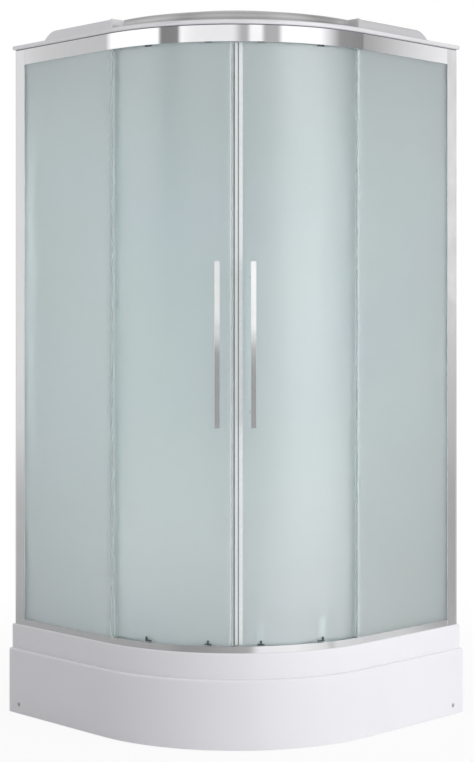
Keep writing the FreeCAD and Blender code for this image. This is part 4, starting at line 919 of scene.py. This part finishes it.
def makeCoverStrips(look):                  # over the wall profiles
    face, groove = look["face"], look["face"] + look["groove"]
    inner, outer = look["inner"], look["outer"]
    first, last = outer + look["grooveFrom"], outer + look["grooveFrom"] + look["grooveWide"]
    outline = [(outer, look["back"]), (outer, face), (first, face), (first, groove),
               (last, groove), (last, face), (inner, face), (inner, look["back"])]
    for side in ("left", "right"):
        place = onSide(side, Matrix())
        points = [place @ Vector((x, y, z)) for z in (look["low"], look["high"]) for x, y in outline]
        faces = outwards(points, prismFaces(0, len(outline)))
        piece = meshPiece(f"wallProfileCover_{side}", points, faces, "satin_aluminium", False)
        roundEdges(piece, look["edge"], 2, 50.0)
        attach(piece, "cabin")


makeCoverStrips(coverStripLook)
print("profile covers made")


capLook = {"x": -0.452, "z": 0.031, "radius": 0.0061, "deep": 0.0017, "steps": 40}


def makeCaps(look):                         # of the screws that hold the apron
    points, faces = [], []
    radius, deep = look["radius"], look["deep"]
    profile = [
        (0.0, -deep), (radius, -deep), (radius, -0.0006), (radius - 0.0004, -0.0002),
        (radius - 0.0010, -0.0004), (radius - 0.0014, -0.0010), (radius - 0.0018, -0.0005),
        (0.0030, -0.0001), (0.0015, 0.0), (0.0, 0.0)]
    left = Matrix.Translation((look["x"], -halfSide, look["z"])) @ Matrix.Rotation(math.pi / 2, 4, "X")
    for stand in (left, across(left)):
        turnedParts(points, faces, profile, look["steps"], stand)
    piece = meshPiece("apronScrewCaps", points, outwards(points, faces), "cap_plastic")
    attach(piece, "cabin")
    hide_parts("apron_caps")


makeCaps(capLook)


coverLook = {"x": -0.17, "y": 0.17, "seat": 0.111, "top": 0.120, "radius": 0.054,
             "ring": (0.0321, 0.0339), "ringEdge": 0.0003, "skirt": 0.012, "steps": 72}


def makeCover(look):                        # domed cover of the waste, with a ring that drops into the seat
    top, seat, radius, edge = look["top"], look["seat"], look["radius"], look["ringEdge"]
    first, last = look["ring"]
    low = seat - look["skirt"]
    profile = [
        (0.0, top - 0.0022), (first, top - 0.0024), (first, low + edge), (first + edge, low),
        (last - edge, low), (last, low + edge), (last, seat + 0.0005),
        (radius - 0.0006, seat + 0.0005), (radius, seat + 0.0011), (radius - 0.0001, seat + 0.0018),
        (radius - 0.0012, top - 0.0062), (radius - 0.0040, top - 0.0042), (radius - 0.0075, top - 0.0026),
        (radius - 0.0110, top - 0.0017), (radius - 0.0122, top - 0.0021), (radius - 0.0134, top - 0.0014),
        (0.0340, top - 0.0008), (0.0240, top - 0.0003), (0.0120, top - 0.0001), (0.0, top)]
    points, faces = [], []
    turnedParts(points, faces, profile, look["steps"], Matrix.Translation((look["x"], look["y"], 0)))
    piece = meshPiece("wasteCoverCap", points, outwards(points, faces), "chrome")
    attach(piece, "waste_cover_body")
    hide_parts("waste_cover")


makeCover(coverLook)


footLook = {
    "places": {"foot_left": (-0.44, -0.41), "foot_rear": (-0.44, 0.36),
               "foot_right": (0.41, 0.44), "foot_front": (0.23, -0.23)},
    "pad": 0.025, "padTop": 0.012, "boss": 0.012, "socket": 0.0114,
    "stem": 0.006, "stemFrom": 0.0113, "stemTop": 0.087, "stemEdge": 0.0012,
    "pitch": 0.0018, "thread": 0.0007, "threadFrom": 0.0220, "threadEnd": 0.0855,
    "padSteps": 48, "stemSteps": 24,
}


def footPad(look):
    pad, top, boss = look["pad"], look["padTop"], look["boss"]
    return [(0.0, 0.0), (0.021, 0.0), (0.0215, 0.0012), (0.0235, 0.0012), (0.0243, 0.0), (pad, 0.0008),
            (pad, 0.0052), (pad - 0.0008, 0.0062), (0.0190, 0.0088), (boss + 0.0006, 0.0116),
            (boss - 0.0006, top), (0.0085, top), (0.0080, look["socket"]), (0.0, look["socket"])]


def footStem(look):                         # threaded, so that the foot can be set in height
    stem, pitch = look["stem"], look["pitch"]
    profile = [(0.0, look["stemFrom"]), (stem, look["stemFrom"]), (stem, look["threadFrom"])]
    for turn in range(int((look["threadEnd"] - look["threadFrom"]) / pitch)):
        level = look["threadFrom"] + turn * pitch
        profile += [(stem - look["thread"], level + pitch * 0.5), (stem, level + pitch)]
    return profile + [(stem - look["stemEdge"], look["stemTop"]), (0.0, look["stemTop"])]


def makeFeet(look):
    for node, (x, y) in look["places"].items():
        points, faces = [], []
        place = Matrix.Translation((x, y, 0))
        turnedParts(points, faces, footPad(look), look["padSteps"], place)
        padFaces = len(faces)
        turnedParts(points, faces, footStem(look), look["stemSteps"], place)
        piece = meshPiece(f"cabin_{node}", points, outwards(points, faces), "foot_plastic")
        piece.data.materials.append(materials["galvanisedSteel"])
        for face in piece.data.polygons:
            face.material_index = 0 if face.index < padFaces else 1
            face.use_smooth = face.index < padFaces
        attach(piece, "cabin")
        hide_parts(node)


makeFeet(footLook)
print("caps, cover and feet made")
